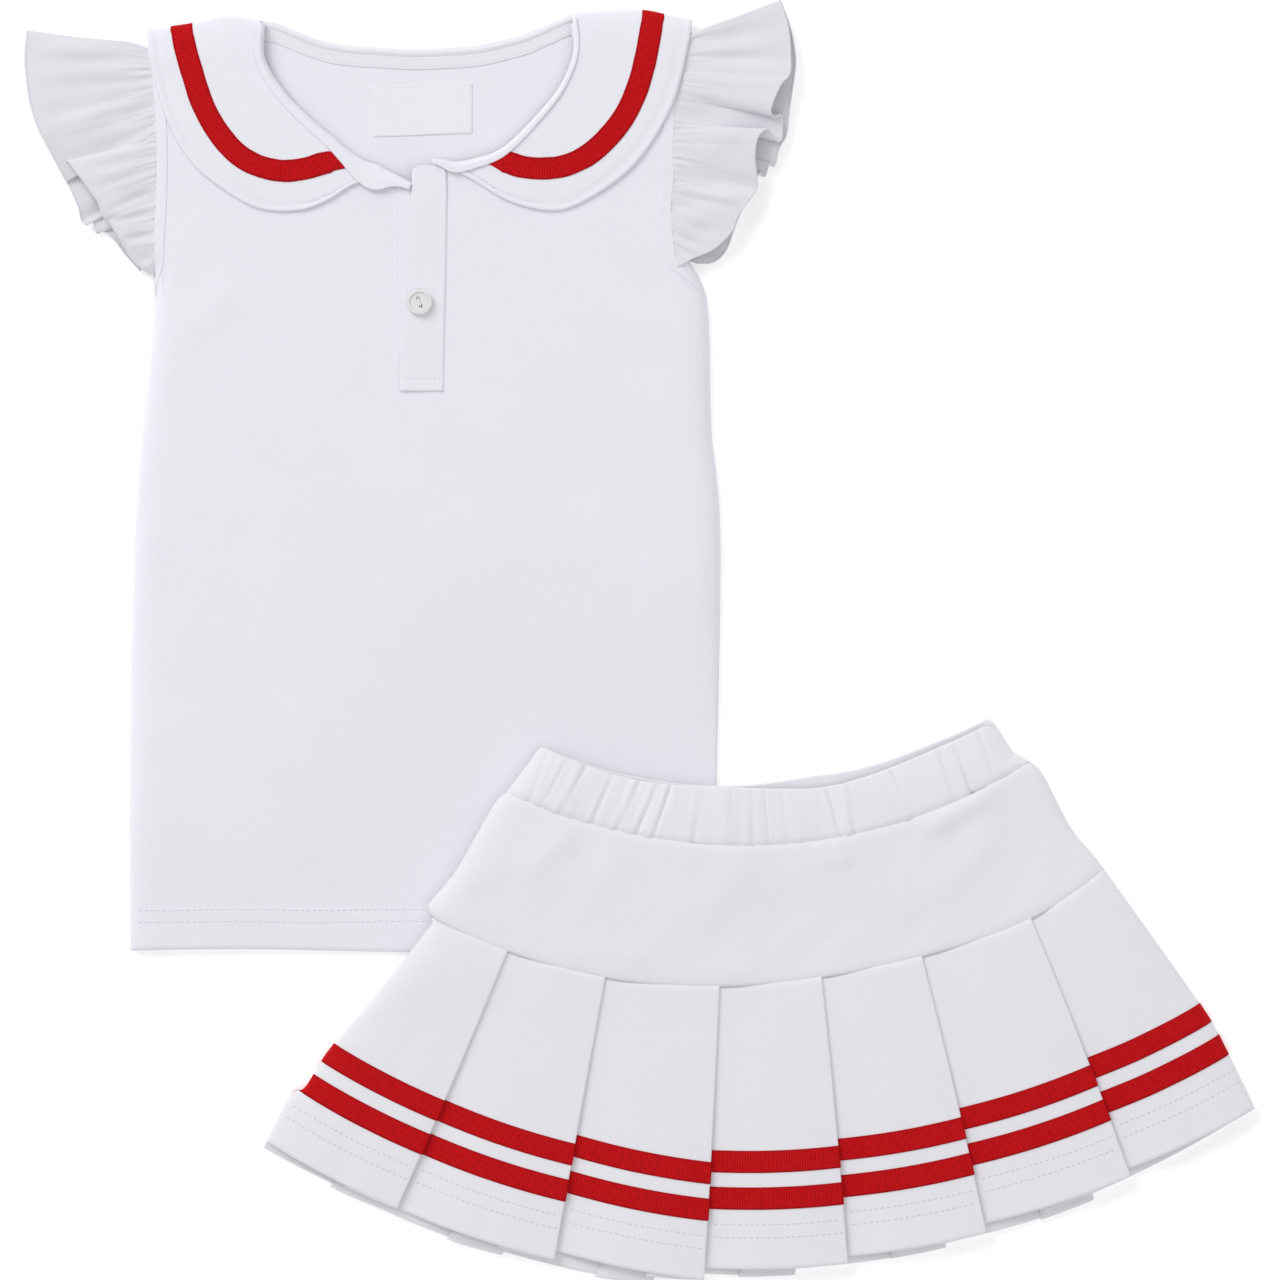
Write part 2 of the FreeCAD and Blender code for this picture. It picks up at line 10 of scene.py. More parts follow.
import bpy
import numpy as np
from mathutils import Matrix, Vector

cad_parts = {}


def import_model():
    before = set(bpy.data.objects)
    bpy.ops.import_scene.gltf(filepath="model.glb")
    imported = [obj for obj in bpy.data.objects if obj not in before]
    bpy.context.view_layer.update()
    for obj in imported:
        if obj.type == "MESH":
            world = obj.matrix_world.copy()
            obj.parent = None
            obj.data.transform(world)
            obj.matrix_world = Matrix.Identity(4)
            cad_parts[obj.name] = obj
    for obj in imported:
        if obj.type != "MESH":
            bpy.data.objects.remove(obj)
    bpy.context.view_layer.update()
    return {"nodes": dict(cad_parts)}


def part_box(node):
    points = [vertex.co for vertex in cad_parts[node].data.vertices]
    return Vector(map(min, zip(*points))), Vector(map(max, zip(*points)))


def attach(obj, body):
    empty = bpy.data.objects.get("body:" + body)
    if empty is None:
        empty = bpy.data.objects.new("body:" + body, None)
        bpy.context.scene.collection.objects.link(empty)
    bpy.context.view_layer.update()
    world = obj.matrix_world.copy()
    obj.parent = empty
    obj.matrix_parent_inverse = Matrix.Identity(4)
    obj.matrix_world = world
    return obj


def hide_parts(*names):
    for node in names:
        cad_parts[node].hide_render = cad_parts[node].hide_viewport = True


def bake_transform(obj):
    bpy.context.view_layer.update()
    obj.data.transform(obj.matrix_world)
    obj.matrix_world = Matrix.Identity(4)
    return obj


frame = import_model()

MM = 0.001

# The top. Its edges are (Y, X) at the sides and (X, Y) round the neck and along the top.
TOP_X = -109.0  # its centre line
HEM_Y = -155.0
LEFT_EDGE = [
    (-155, -145.5), (-50, -145.5), (70, -142), (143, -135), (180, -133), (251, -133), (310, -137.5),
]
RIGHT_EDGE = [
    (-155, 145), (40, 149), (105, 144.5), (150, 143.5), (170, 142), (180, 138.6), (188, 134), (196, 128.6),
    (205, 125.6), (255, 125), (315, 135),
]
LEFT_NECK = [
    (-9, 226), (-30, 232.6), (-39, 240.6), (-47.6, 249.4), (-57.4, 257.6), (-68.6, 268.8), (-77.3, 281),
    (-81, 292), (-80, 304),
]
RIGHT_NECK = [
    (7, 237), (24, 237), (38.5, 241.6), (48.2, 249.2), (60, 262.2), (69.3, 274.2), (75.8, 287.8),
    (77.4, 299), (76, 308),
]
TOP_EDGE = [
    (-150, 302), (-136.8, 304.9), (-125.3, 306.5), (-114.4, 308.2), (-98, 311.9), (-82.3, 310),
    (-74.4, 309.2), (-66.5, 306.2), (-53.4, 301), (-40.2, 297.9), (-20.5, 296.4), (-5, 295.6), (8.7, 296),
    (28.4, 297.4), (41.5, 300.3), (53.4, 303.6), (67.8, 310), (76, 313), (94, 314.4), (110, 314.6),
    (120.6, 312.8), (134.6, 310), (150, 307),
]
KNIT = 0.8  # thickness of the top's cloth
TAPE, BAND, BINDING, LABEL = 0.3, 0.7, 0.35, 0.4  # and of what is sewn to it
FRONT_Z = 6.9  # middle of the front's cloth, where air lifts it
BACK_Z = 0.5
BACK_RAISED_Z = 2.2  # the back where the collar is folded under it
BACK_RAISED_DOWN = (58, 76)  # it comes down again this far below the top edge
SEAM_Z = 1.5  # where front and back meet at the sides
SHOULDER_Z = 3.4
SIDE_ROLL = 15.0  # how far in from a seam the front curves up
SHOULDER_ROLL = 22.0
ARMHOLE_Y = (178, 196)  # where the side seam gives way to the armhole
ARMHOLE_EDGE_Z = 6.4
STRAIGHT_ROWS_Y = 176.0  # the front's mesh bends towards the neck above this
HEM_Z_SHARE = 0.42  # of the front's height, left at its hem
HEM_TURNED = 21  # depth of the doubled hem
HEM_RISE = 0.3
HEM_STITCHES = (14.0, 20.0)  # two rows, up from the hem
BY_SKIRT_Z = 1.35  # the front beside and under the skirt
BY_SKIRT_REACH = (2, 112)  # it rises from there over this distance
# Drags in the front below each armhole: X, Y and reach along Y
ARM_DRAGS = [(-118, 168, 40), (112, 160, 42)]

# The collar, each half from the shoulder to the placket
COLLAR = 1.2  # thickness, folded double
COLLAR_LIFT = 1.35  # its middle above the middle of the front
COLLAR_OUTER_LEFT = [
    (-136.5, 304), (-134.5, 287), (-126, 258), (-114, 238), (-98, 224.5), (-81, 215.5), (-62, 214.5),
    (-48, 219), (-36, 226.5), (-24, 231),
]
COLLAR_OUTER_RIGHT = [
    (134.5, 308), (132.5, 296), (126, 270), (113, 246), (98, 230), (77, 217), (62, 214.5), (43, 219.5),
    (26, 229.5), (14, 236),
]
COLLAR_INNER_LEFT = [
    (-80.6, 308), (-81.6, 292), (-77.6, 280.6), (-69, 268.3), (-57.8, 257), (-48, 248.7), (-39, 240.4),
    (-29, 235.4), (-20, 233.5),
]
COLLAR_INNER_RIGHT = [
    (75.8, 311), (77.4, 299), (75.6, 287.6), (69.2, 274), (59.8, 262), (48, 249), (38.5, 241.2),
    (27.6, 237.2), (16, 236.4),
]
RIBBON_LEFT = [
    (-119.8, 306.4), (-117.5, 295), (-114, 282), (-109, 267), (-101.6, 253.6), (-92.2, 242.8),
    (-81.6, 236.6), (-69, 233.9), (-57.3, 235.2), (-50, 237.4), (-44, 238.2), (-37, 236),
]
RIBBON_RIGHT = [
    (115.6, 310.5), (113.6, 299), (111, 286.5), (107.2, 273.8), (101.2, 261.2), (92.8, 250.4), (83, 241.8),
    (71.6, 236.5), (60, 235.1), (50, 236), (43, 238.2), (37.5, 238.9), (32.4, 238.6),
]
COLLAR_BACK_EDGE = [(-134, 302), (-95, 309), (-38, 296), (0, 293.6), (39, 296.5), (80, 309.5), (133, 306)]
COLLAR_BACK_FOOT = [(-128, 270), (-92, 256), (-38, 244), (0, 241), (39, 244), (92, 257), (129, 272)]
# Where each half bends when it lifts: from the still side to the moving side
COLLAR_BLEND = {"left": ((-68, 262), (-84, 249)), "right": ((60, 262), (76, 247))}
RIBBON_W = 10.8
RIBBON = 0.4  # its thickness
SEWN_LIFT = 0.22  # middle of a ribbon, or of its stitches, above what it is sewn to
RIBBON_TAPER = 9.0  # where its end is tucked under the neck band
NECK_TAPE_W = 9.6
EDGE_STITCH = 3.3  # a row this far in from the collar's edge

# Neck bands: centre line with half width, from the shoulder to the placket
BAND_OUTER_Z, BAND_Z = -1.4, 2.65  # of the band's middle above the front, at its edge and along it
BAND_LEFT = [
    (-79.8, 307.6, 1.2), (-80.8, 292.4, 1.9), (-76.4, 281.2, 2.2), (-67.8, 269.2, 2.3), (-56.6, 258.1, 2.4),
    (-46.9, 249.7, 2.6), (-37.8, 241, 3.4), (-30, 234.2, 5.2), (-22.6, 230.6, 6.2), (-15.6, 229.6, 3.6),
    (-10, 228.2, 2.2), (-5.5, 226.4, 1.8),
]
BAND_RIGHT = [
    (76.3, 310.6, 0.8), (77.4, 299, 1.0), (75.7, 287.8, 1.1), (69.3, 274.2, 1.2), (59.9, 262.3, 1.4),
    (47.9, 249.4, 1.7), (38.3, 241.9, 2.0), (27.4, 238, 2.3), (17.4, 235.8, 2.6), (10.5, 237.8, 1.8),
    (5.5, 239.2, 1.0),
]

# The placket: a strip whose right edge is sewn down, with a row of stitches across its foot, and the strip
# beneath it. Each is Y, then the X of its left and right edges.
PLACKET = [
    (236.4, -1.5, 9.0), (234, -4.2, 11.9), (226, -4.6, 12.5), (209, -6.4, 12.4), (183, -8.6, 12),
    (159, -10, 11.4), (140, -10.4, 11), (124.3, -10.6, 10.8),
]
UNDERLAP = [(228, -12.6, 6), (200, -12.9, 6), (170, -13.2, 6), (128, -13.4, 6)]
PLACKET_FOOT_Y = 130.0
PLACKET_FOLD = (176.0, 204.0)  # between these heights the strip turns with the flap
BUTTONHOLE = 14.5  # its rim's length
BUTTONHOLE_W = 4.8
BUTTONHOLE_LIFT = 1.35

# The sleeves: Y on the armhole, then the hem's X, Y and Z, going round from the shoulder.
# Each armhole is (Y, X).
ARMHOLE_LEFT = [
    (294.6, -137), (277, -133.8), (259, -132.5), (241, -132), (222, -132.3), (201, -133.4), (179, -133.9),
]
SLEEVE_LEFT_FRONT = [
    (294.6, -196.6, 304, 6.6), (287, -197.3, 287.6, 8.0), (279, -195.2, 269, 9.0),
    (271, -190.6, 254.4, 9.6), (265, -187, 248.4, 9.2), (259, -182.4, 238.8, 7.2), (254, -177, 229, 5.0),
    (251.5, -177.2, 234.4, 5.0), (249.5, -176.6, 239.2, 7.6), (244, -171.6, 233.3, 9.4),
    (237, -165.8, 225.5, 9.6), (230, -161, 218.6, 9.4), (224, -158.3, 211.4, 9.2),
    (217, -155.7, 209.4, 7.8), (210, -153.2, 205.2, 8.4), (203, -149.7, 199.8, 8.4),
    (197, -147.2, 194.6, 7.0), (190, -141.6, 187.4, 5.6), (184, -135.4, 182.6, 3.6),
]
SLEEVE_LEFT_BACK = [
    (288, -198, 288, 4.6), (276, -195, 268, 2.4), (264, -189.5, 252, 1.6), (254, -183.5, 240.5, 3.6),
    (246, -176.5, 227.6, 3.6), (240, -171.5, 217, 4.6), (232, -169.8, 209.6, 3.2),
    (226, -167.2, 207.6, 4.0), (221, -164.4, 210, 2.6), (215, -162.4, 203.6, 2.6), (208, -159, 204.6, 1.0),
    (202, -152.6, 199, 2.4), (196, -147.6, 192.4, 1.2), (188, -140.6, 184.6, 1.6),
]
ARMHOLE_RIGHT = [
    (301, 133.4), (290, 131.6), (278.5, 128.8), (268.6, 126.3), (256.8, 125.8), (243, 125.4), (231, 125.8),
    (221, 124.9), (213, 124.4), (201, 125.4), (189, 127.2),
]
SLEEVE_RIGHT_FRONT = [
    (301, 178.7, 319.4, 6.6), (297, 182.8, 305, 7.8), (291, 183.8, 290.5, 9.0), (284.5, 183.2, 282, 10.6),
    (280.5, 178.8, 276.6, 12.2), (275.5, 174, 265, 12.0), (272.5, 175.6, 260.8, 9.4),
    (269.5, 179.4, 261.6, 6.4), (264.5, 179.6, 251, 5.4), (260.5, 177, 249, 7.8),
    (256.5, 172.6, 254.6, 11.2), (252, 167.4, 250.4, 12.6), (245, 165.9, 241, 11.8),
    (240.5, 166.8, 232, 10.0), (233, 166.9, 225.2, 7.6), (227, 163.4, 220, 10.0), (220, 157.6, 211.4, 9.2),
    (215, 154.4, 203.8, 8.6), (206, 145.2, 195, 8.2), (196, 135, 190.6, 7.8), (187.6, 127.6, 186.2, 7.0),
]
SLEEVE_RIGHT_BACK = [
    (297, 184, 305, 4.8), (291, 186.4, 291.4, 4.4), (284, 186, 283, 4.0), (276, 183.4, 265, 4.4),
    (268, 182, 252.6, 3.2), (262, 178.4, 246, 4.4), (256, 176, 237, 3.0), (250, 173.6, 238.4, 4.2),
    (244, 171.2, 232, 1.4), (237, 167.6, 232.4, 3.0), (229, 160, 216, 1.2), (218, 156, 206, 3.6),
    (208, 151.8, 195, 1.6), (199, 145.6, 189, 2.6), (191, 137, 188.6, 1.4),
]
# Where the armhole bindings run on, as (X, Y)
ARMHOLE_FOOT = {"left": [(-133.6, 172)], "right": [(132, 183.6), (140.6, 173.4)]}
BINDING_W = 5.0  # the half that shows
BINDING_STITCH = 4.4  # a row this far in from the armhole
SLEEVE_PLY = 0.6
SLEEVE_FLAT = (310, 62)
SLEEVE_CRESCENT = 0.62  # share of that box which a sleeve's crescent fills
SLEEVE_HEM_R = 0.62  # radius of the rolled hem
SLEEVE_BLEND = {"left": ((-134, 240), (-146, 240)), "right": ((126, 245), (138, 245))}
SHOULDER_BOW = {"left": 2.2, "right": 0.8}  # how far a sleeve's upper edge bows out
BOW_AT = 0.17  # along the sleeve from its seam

# The skirt. Its edges round the body are (angle, radius) and its side seams are (radius, angle).
SKIRT_X, SKIRT_Y = 45.2, 157.6
PLY = 0.6  # thickness of the pleats' cloth
WAIST_FRONT = [
    (-24.4, 234.6), (-24.0, 232.2), (-23.2, 231.4), (-12, 232.5), (-2, 231.4), (5, 233), (12.4, 236.2),
    (24, 235.5), (31.4, 237.4), (32.5, 238.4), (33.2, 241.0),
]
WAIST_BACK = [(-24.2, 231.5), (-2, 231.0), (9, 229.6), (16, 231.4), (25, 232.4), (33.4, 235.4)]
WAIST_SEAM = [(-26, 258.6), (-12, 259), (4, 260.8), (22, 263), (34.6, 264.4)]
YOKE_SEAM = [(-27.5, 331.5), (-10.6, 331.8), (8, 328.8), (17, 329.5), (27, 332.2), (34.6, 330)]
SKIRT_LEFT = [
    (229, -23.6), (234, -24.2), (257, -25.4), (268, -26.2), (303, -26.6), (322, -27.3), (328, -27.4),
    (333, -26.5), (345, -26.8), (409, -28.8), (436, -29.1), (444, -29.7), (480, -29.5),
]
SKIRT_RIGHT = [
    (232, 32.2), (238, 33.3), (255, 33.3), (261, 33.9), (272, 34.7), (303, 34.0), (330, 34.4), (412, 34.6),
    (440, 34.3), (480, 33.6),
]
# Between pleats: angle of each crease at its top and at the hem
CREASES = [(-19.6, -20.7), (-10.9, -10.7), (-1.0, -1.6), (7.9, 7.1), (16.8, 15.7), (26.8, 25.1)]
BACK_CREASES = [(-18.6, -21.4), (-9.6, -13.6), (-0.6, -4.4), (8.3, 4.0), (17.2, 13.2), (26.0, 22.6)]
PLEATS = 7
PLEAT_TOP_R, PLEAT_HEM_R = 330.0, 471.0
# Radius of each pleat's hem at its left and right
PLEAT_HEMS = [
    (468.8, 471.6), (471.4, 475.0), (470.6, 477.0), (471.2, 472.2), (468.9, 470.8), (466.4, 469.6),
    (465.9, 470.8),
]
BACK_HEMS = [
    (472.6, 473.0), (474.8, 478.6), (476.6, 480.6), (473.4, 475.8), (472.4, 473.4), (470.8, 473.4),
    (469.8, 470.6),
]
PLEAT_DEPTH_DEG = 3.4  # turned under at the hem
PLEAT_DEPTH_TOP = 0.55  # share of that at the top
RIBBONS_UP = ((58.8, 48.0), (40.5, 29.6))  # top and bottom of each stripe, up from the hem
RIBBON_LIFT = 0.52  # a stripe's middle above the middle of the pleat's cloth
PLEAT_STITCHES = (15.5, 22.0)
BACK_LAYER_Z, FRONT_LAYER_Z = 1.2, 7.4  # above what the skirt lies on
PLEAT_RISE = 2.8  # from a pleat's hidden edge to its fold, at the hem
PLEAT_RISE_TOP = 1.5  # and at its top
FOLD_RADIUS = 0.42  # of the middle of the cloth
FACE_COLUMNS = 44
HIDDEN_COLUMNS = 6
HEM_SAG = 3.6  # how far the front settles towards its hem
# Back pleats at a side seam follow the front pleat there, between these two angles
SIDE_JOINTS = {1: (-21.0, -28.5), PLEATS: (27.0, 34.0)}
SIDE_JOINT_R = 400.0
SKIRT_SEAM_Z = 3.6
SKIRT_ROLL = 14.0
OVER_TOP_Z = 2.0  # what the skirt rests on where the top lies under it
SKIRT_TOP_R = 231
YOKE_TOP_R = 262
YOKE_H = 70
WAIST_R = 248  # of the middle of the casing
WAIST_PLY, ELASTIC = 1.5, 0.6  # thickness of the doubled casing and of what is in it
WAIST_TACK_X = 18.2  # along the casing from straight down
# Creases in the casing: angle at its top, angle at its seam, depth, width
WAIST_CREASES = [
    (-23.2, -22.8, 0.8, 1.6), (-20.6, -21.4, 0.4, 1.3), (-18.1, -19.1, 1.0, 1.7), (-14.6, -15.6, 0.6, 1.4),
    (-11.2, -12.7, 1.1, 1.6), (-9.0, -10.5, 1.0, 1.5), (-7.4, -8.6, 0.9, 1.3), (-3.5, -4.2, 0.5, 1.6),
    (0.2, -0.2, 0.3, 1.4), (2.6, 2.4, 0.6, 1.4), (6.4, 6.2, 0.3, 1.6), (11.8, 12.2, 0.8, 1.5),
    (14.4, 13.8, 1.2, 1.8), (19.9, 20.4, 1.0, 1.6), (26.2, 25.1, 0.9, 1.6), (28.1, 27.2, 1.0, 1.5),
    (31.3, 30.1, 0.8, 1.6),
]
# Soft drags in the yoke, by place along it and down from the casing's seam: start, end, width, height
YOKE_DRAGS = [
    ((-78, 2), (-106, 30), 7.0, 1.5), ((-52, 4), (-70, 30), 8.0, 0.9), ((-24, 34), (-52, 60), 8.0, 0.7),
    ((44, 0), (49, 14), 2.6, 0.8), ((52, 0), (57, 15), 2.8, 0.9), ((146, 5), (92, 7), 6.0, 1.7),
    ((140, 24), (96, 44), 9.0, 0.8), ((10, 4), (-14, 30), 9.0, 0.6),
]

# Thread: pitch, length and width of the stitches in each kind of seam
SEAMS = {
    "top_hem": (3.0, 1.8, 0.5), "pleat_hem": (3.0, 1.8, 0.6), "collar": (2.5, 1.5, 0.36),
    "ribbon": (2.5, 1.5, 0.32), "band": (2.4, 1.5, 0.36), "placket": (2.3, 1.4, 0.38),
    "armhole": (2.3, 1.4, 0.36), "label": (2.0, 1.3, 0.3), "tack": (2.0, 1.4, 0.4),
}

# Cloth: material, dark and light colour, wale and course in millimetres, bump, roughness, sheen
CLOTHS = {
    "knit": ("white_knit", (0.835, 0.835, 0.90), (0.90, 0.90, 0.962), 0.9, 0.7, 0.28, 0.9, 0.15),
    # The sleeves' cloth is the same white knit, painted darker: painted shade for the shadow in their
    # gathered folds and under their layers.
    "ruffle": ("white_knit_ruffle_shaded", (0.75, 0.745, 0.795), (0.82, 0.815, 0.86), 0.9, 0.7, 0.28, 0.9, 0.15),
    "pleat": ("pleat_fabric", (0.82, 0.815, 0.862), (0.885, 0.88, 0.925), 0.7, 0.7, 0.24, 0.88, 0.15),
    "tape": ("binding_tape", (0.82, 0.815, 0.87), (0.89, 0.885, 0.94), 1.3, 0.8, 0.4, 0.85, 0.1),
    "label": ("woven_label", (0.865, 0.86, 0.905), (0.925, 0.92, 0.96), 0.5, 0.5, 0.3, 0.55, 0.1),
    "elastic": ("elastic", (0.78, 0.78, 0.81), (0.88, 0.88, 0.91), 1.6, 2.2, 0.7, 0.8, 0.0),
    "thread": ("thread", (0.80, 0.80, 0.84), (0.90, 0.90, 0.94), 0.4, 0.4, 0.3, 0.6, 0.2),
    # Hem thread is the same white thread painted darker: painted shade for the small hollows along the
    # hems' stitch rows.
    "hem_thread_shaded": ("hem_thread_shaded", (0.66, 0.66, 0.72), (0.76, 0.76, 0.82), 0.4, 0.4, 0.3, 0.6, 0.2),
}
# Dark and light red of the ribbon. Colour towards the dark end in the ribs' grooves is painted shade.
RIBBON_COLOURS = ((0.38, 0.001, 0.004), (0.68, 0.005, 0.009))
RIBBON_RIB = 1.3
BUMP_DEPTH = 0.00025  # metres
BUTTON_COLOURS = ((0.76, 0.745, 0.755), (0.88, 0.868, 0.876))

# Light and camera, in metres and watts. Each light is its size, its power and its place.
LIGHTS = {"key": (2.4, 106, (-2.6, 3.0, 2.8)), "fill": (3.6, 30, (2.4, -1.6, 4.2))}
SKY = 0.585
FLOOR_Z = -0.0006
FLOOR_COLOURS = ((0.93, 0.93, 0.93), (0.95, 0.95, 0.95))
FLOOR_GLOW = 0.28
CAMERA_UP, VIEW_ACROSS = 3.2, 0.640
FILM = 36.0  # width of the film, in millimetres


# ---- shapes

def ramp(value, low, high):
    """0 before low, 1 after high, smooth between."""
    t = np.clip((np.asarray(value, float) - low) / (high - low), 0, 1)
    return t * t * (3 - 2 * t)


def mix(a, b, t):
    return a + (b - a) * t


def between(a, b, t):
    """A sheet of places from line a to line b, at the shares t of the way."""
    t = t[None, :, None]
    return a[:, None] * (1 - t) + b[:, None] * t


def curve(points, count):
    """A smooth line through the points, as count places evenly spaced along it."""
    p = np.asarray(points, float)
    p = np.vstack([2 * p[0] - p[1], p, 2 * p[-1] - p[-2]])
    t = np.linspace(0, 1, 24, endpoint=False)[:, None]
    parts = []
    for a, b, c, d in zip(p, p[1:], p[2:], p[3:]):
        square, cube = 2 * a - 5 * b + 4 * c - d, 3 * b - a - 3 * c + d
        parts.append(0.5 * (2 * b + (c - a) * t + square * t**2 + cube * t**3))
    line = np.vstack(parts + [p[-2:-1]])
    run = np.concatenate([[0], np.cumsum(np.linalg.norm(np.diff(line, axis=0), axis=1))])
    at = np.linspace(0, run[-1], count)
    return np.column_stack([np.interp(at, run, line[:, k]) for k in range(line.shape[1])])


def along(points, value, count=400):
    """The second number of a smooth line at a given first number."""
    line = curve(points, count)
    line = line[np.argsort(line[:, 0])]
    return np.interp(value, line[:, 0], line[:, 1])


def ripples(x, y, size, seed):
    """Smooth random height, about -1 to 1, with bumps size apart."""
    table = np.random.RandomState(seed).uniform(-1, 1, (64, 64))
    u, v = np.asarray(x, float) / size + 17.3, np.asarray(y, float) / size + 31.7
    i, j = np.floor(u).astype(int), np.floor(v).astype(int)
    s, t = ramp(u - i, 0, 1), ramp(v - j, 0, 1)

    def corner(a, b):
        return table[(i + a) % 64, (j + b) % 64]

    return mix(mix(corner(0, 0), corner(1, 0), s), mix(corner(0, 1), corner(1, 1), s), t)


def dome(distance, reach):
    """0 at an edge, 1 from reach inward, round like a soft fold."""
    t = np.clip(np.asarray(distance, float) / reach, 0, 1)
    return np.sqrt(1 - (1 - t) ** 2.2)


def ridges(x, y, lines):
    """Soft ridges in cloth, each (x, y) to (x, y) with a width and a height, dying away at both ends."""
    z = np.zeros(np.broadcast(x, y).shape)
    for start, end, width, height in lines:
        way = np.subtract(end, start)
        long = np.linalg.norm(way)
        run = ((x - start[0]) * way[0] + (y - start[1]) * way[1]) / long
        off = ((x - start[0]) * way[1] - (y - start[1]) * way[0]) / long
        near, far = ramp(run, -width, long * 0.35), ramp(long + width - run, 0, long * 0.5)
        z = z + height * np.exp(-(off / width) ** 2) * near * far
    return z


def dense_ends(count, rim=0.012):
    """0 to 1 with an extra place close to each end, so that a rim stays crisp."""
    return np.concatenate([[0, rim], np.linspace(2 * rim, 1 - 2 * rim, count - 4), [1 - rim, 1]])


# ---- meshes

def grid_normals(grid):
    """Unit normals at the places of a grid."""
    across = np.gradient(grid, axis=0)
    down = np.gradient(grid, axis=1)
    normal = np.cross(across, down)
    return normal / np.maximum(np.linalg.norm(normal, axis=2, keepdims=True), 1e-9)


def border(rows, cols):
    """Indexes round the edge of a grid, with the neighbour inside each."""
    ring = [(0, j) for j in range(cols)] + [(i, cols - 1) for i in range(1, rows)]
    ring += [(rows - 1, j) for j in range(cols - 2, -1, -1)] + [(i, 0) for i in range(rows - 2, 0, -1)]
    inside = [(min(max(i, 1), rows - 2), min(max(j, 1), cols - 2)) for i, j in ring]
    return ring, inside


def make_object(name, points, faces, uvs, material):
    """A smooth-shaded object. Points and uvs are in millimetres."""
    mesh = bpy.data.meshes.new(name)
    mesh.from_pydata((np.asarray(points) * MM).tolist(), [], faces)
    layer = mesh.uv_layers.new(name="cloth")
    loops = np.zeros(len(mesh.loops), int)
    mesh.loops.foreach_get("vertex_index", loops)
    layer.data.foreach_set("uv", np.asarray(uvs, float)[loops].ravel())
    mesh.polygons.foreach_set("use_smooth", [True] * len(mesh.polygons))
    mesh.materials.append(material)
    mesh.update()
    obj = bpy.data.objects.new(name, mesh)
    bpy.context.scene.collection.objects.link(obj)
    return obj


def shell_mesh(grid, thick):
    """Points, faces and uvs of cloth of that thickness round a grid, with a rounded rim."""
    rows, cols = grid.shape[:2]
    normal = grid_normals(grid)
    half = np.broadcast_to(np.asarray(thick, float) / 2, (rows, cols))[..., None]
    ring, inside = border(rows, cols)
    ri, rj = np.array(ring).T
    ni, nj = np.array(inside).T
    outward = grid[ri, rj] - grid[ni, nj]
    outward /= np.maximum(np.linalg.norm(outward, axis=1, keepdims=True), 1e-9)
    rim = grid[ri, rj] + outward * half[ri, rj] * 0.8
    points = np.vstack([(grid + normal * half).reshape(-1, 3), (grid - normal * half).reshape(-1, 3), rim])
    run_u = np.zeros((rows, cols))
    run_v = np.zeros((rows, cols))
    run_u[1:] = np.cumsum(np.linalg.norm(np.diff(grid, axis=0), axis=2).mean(axis=1))[:, None]
    run_v[:, 1:] = np.cumsum(np.linalg.norm(np.diff(grid, axis=1), axis=2), axis=1)
    flat = np.stack([run_u, run_v], axis=2)
    uvs = np.vstack([flat.reshape(-1, 2), flat.reshape(-1, 2), flat[ri, rj]])
    index = np.arange(rows * cols).reshape(rows, cols)
    a, b, c, d = index[:-1, :-1], index[1:, :-1], index[1:, 1:], index[:-1, 1:]
    top = np.stack([a, b, c, d], axis=2).reshape(-1, 4)
    low = top[:, ::-1] + rows * cols
    edge = index[ri, rj]
    after = np.roll(edge, -1)
    rim_at = 2 * rows * cols + np.arange(len(ring))
    rim_next = np.roll(rim_at, -1)
    upper = np.stack([edge, after, rim_next, rim_at], axis=1)
    lower = np.stack([rim_at, rim_next, after + rows * cols, edge + rows * cols], axis=1)
    faces = np.vstack([top, low, upper, lower])
    return points, faces, uvs


def cloth(name, grids, thick, material):
    """One object of one or more cloth grids."""
    grids = grids if isinstance(grids, list) else [grids]
    points, faces, uvs, count = [], [], [], 0
    for grid in grids:
        p, f, t = shell_mesh(grid, thick)
        points.append(p)
        faces.append(f + count)
        uvs.append(t)
        count += len(p)
    return make_object(name, np.vstack(points), np.vstack(faces).tolist(), np.vstack(uvs), material)


def strip_grid(line, half_width, columns, height):
    """A grid either side of a plan line. height(x, y, side) gives z, side running from -1 to 1."""
    tangent = np.gradient(line[:, :2], axis=0)
    tangent /= np.linalg.norm(tangent, axis=1, keepdims=True)
    side_way = np.column_stack([-tangent[:, 1], tangent[:, 0]])
    half = np.broadcast_to(np.asarray(half_width, float), (len(line),))
    side = dense_ends(columns, 0.03) * 2 - 1
    plan = line[:, None, :2] + side_way[:, None, :] * (half[:, None] * side[None, :])[..., None]
    z = height(plan[..., 0], plan[..., 1], np.broadcast_to(side, plan.shape[:2]))
    return np.dstack([plan, z])


def tube(name, path, radius, material, sides=8):
    """A round cord along a path, closed at both ends."""
    tangent = np.gradient(path, axis=0)
    tangent /= np.maximum(np.linalg.norm(tangent, axis=1, keepdims=True), 1e-9)
    flat = np.cross(tangent, [0, 0, 1.0])
    flat /= np.maximum(np.linalg.norm(flat, axis=1, keepdims=True), 1e-9)
    rise = np.cross(flat, tangent)
    turn = np.linspace(0, 2 * math.pi, sides, endpoint=False)
    ring = flat[:, None] * np.cos(turn)[None, :, None] + rise[:, None] * np.sin(turn)[None, :, None]
    points = (path[:, None] + ring * radius).reshape(-1, 3)
    rows = len(path)
    index = np.arange(rows * sides).reshape(rows, sides)
    a, b = index[:-1], index[1:]
    faces = np.stack([a, b, np.roll(b, -1, 1), np.roll(a, -1, 1)], axis=2).reshape(-1, 4).tolist()
    faces += [index[0].tolist(), index[-1][::-1].tolist()]
    uvs = np.column_stack([np.repeat(np.arange(rows), sides), np.tile(np.arange(sides), rows)])
    return make_object(name, points, faces, uvs, material)


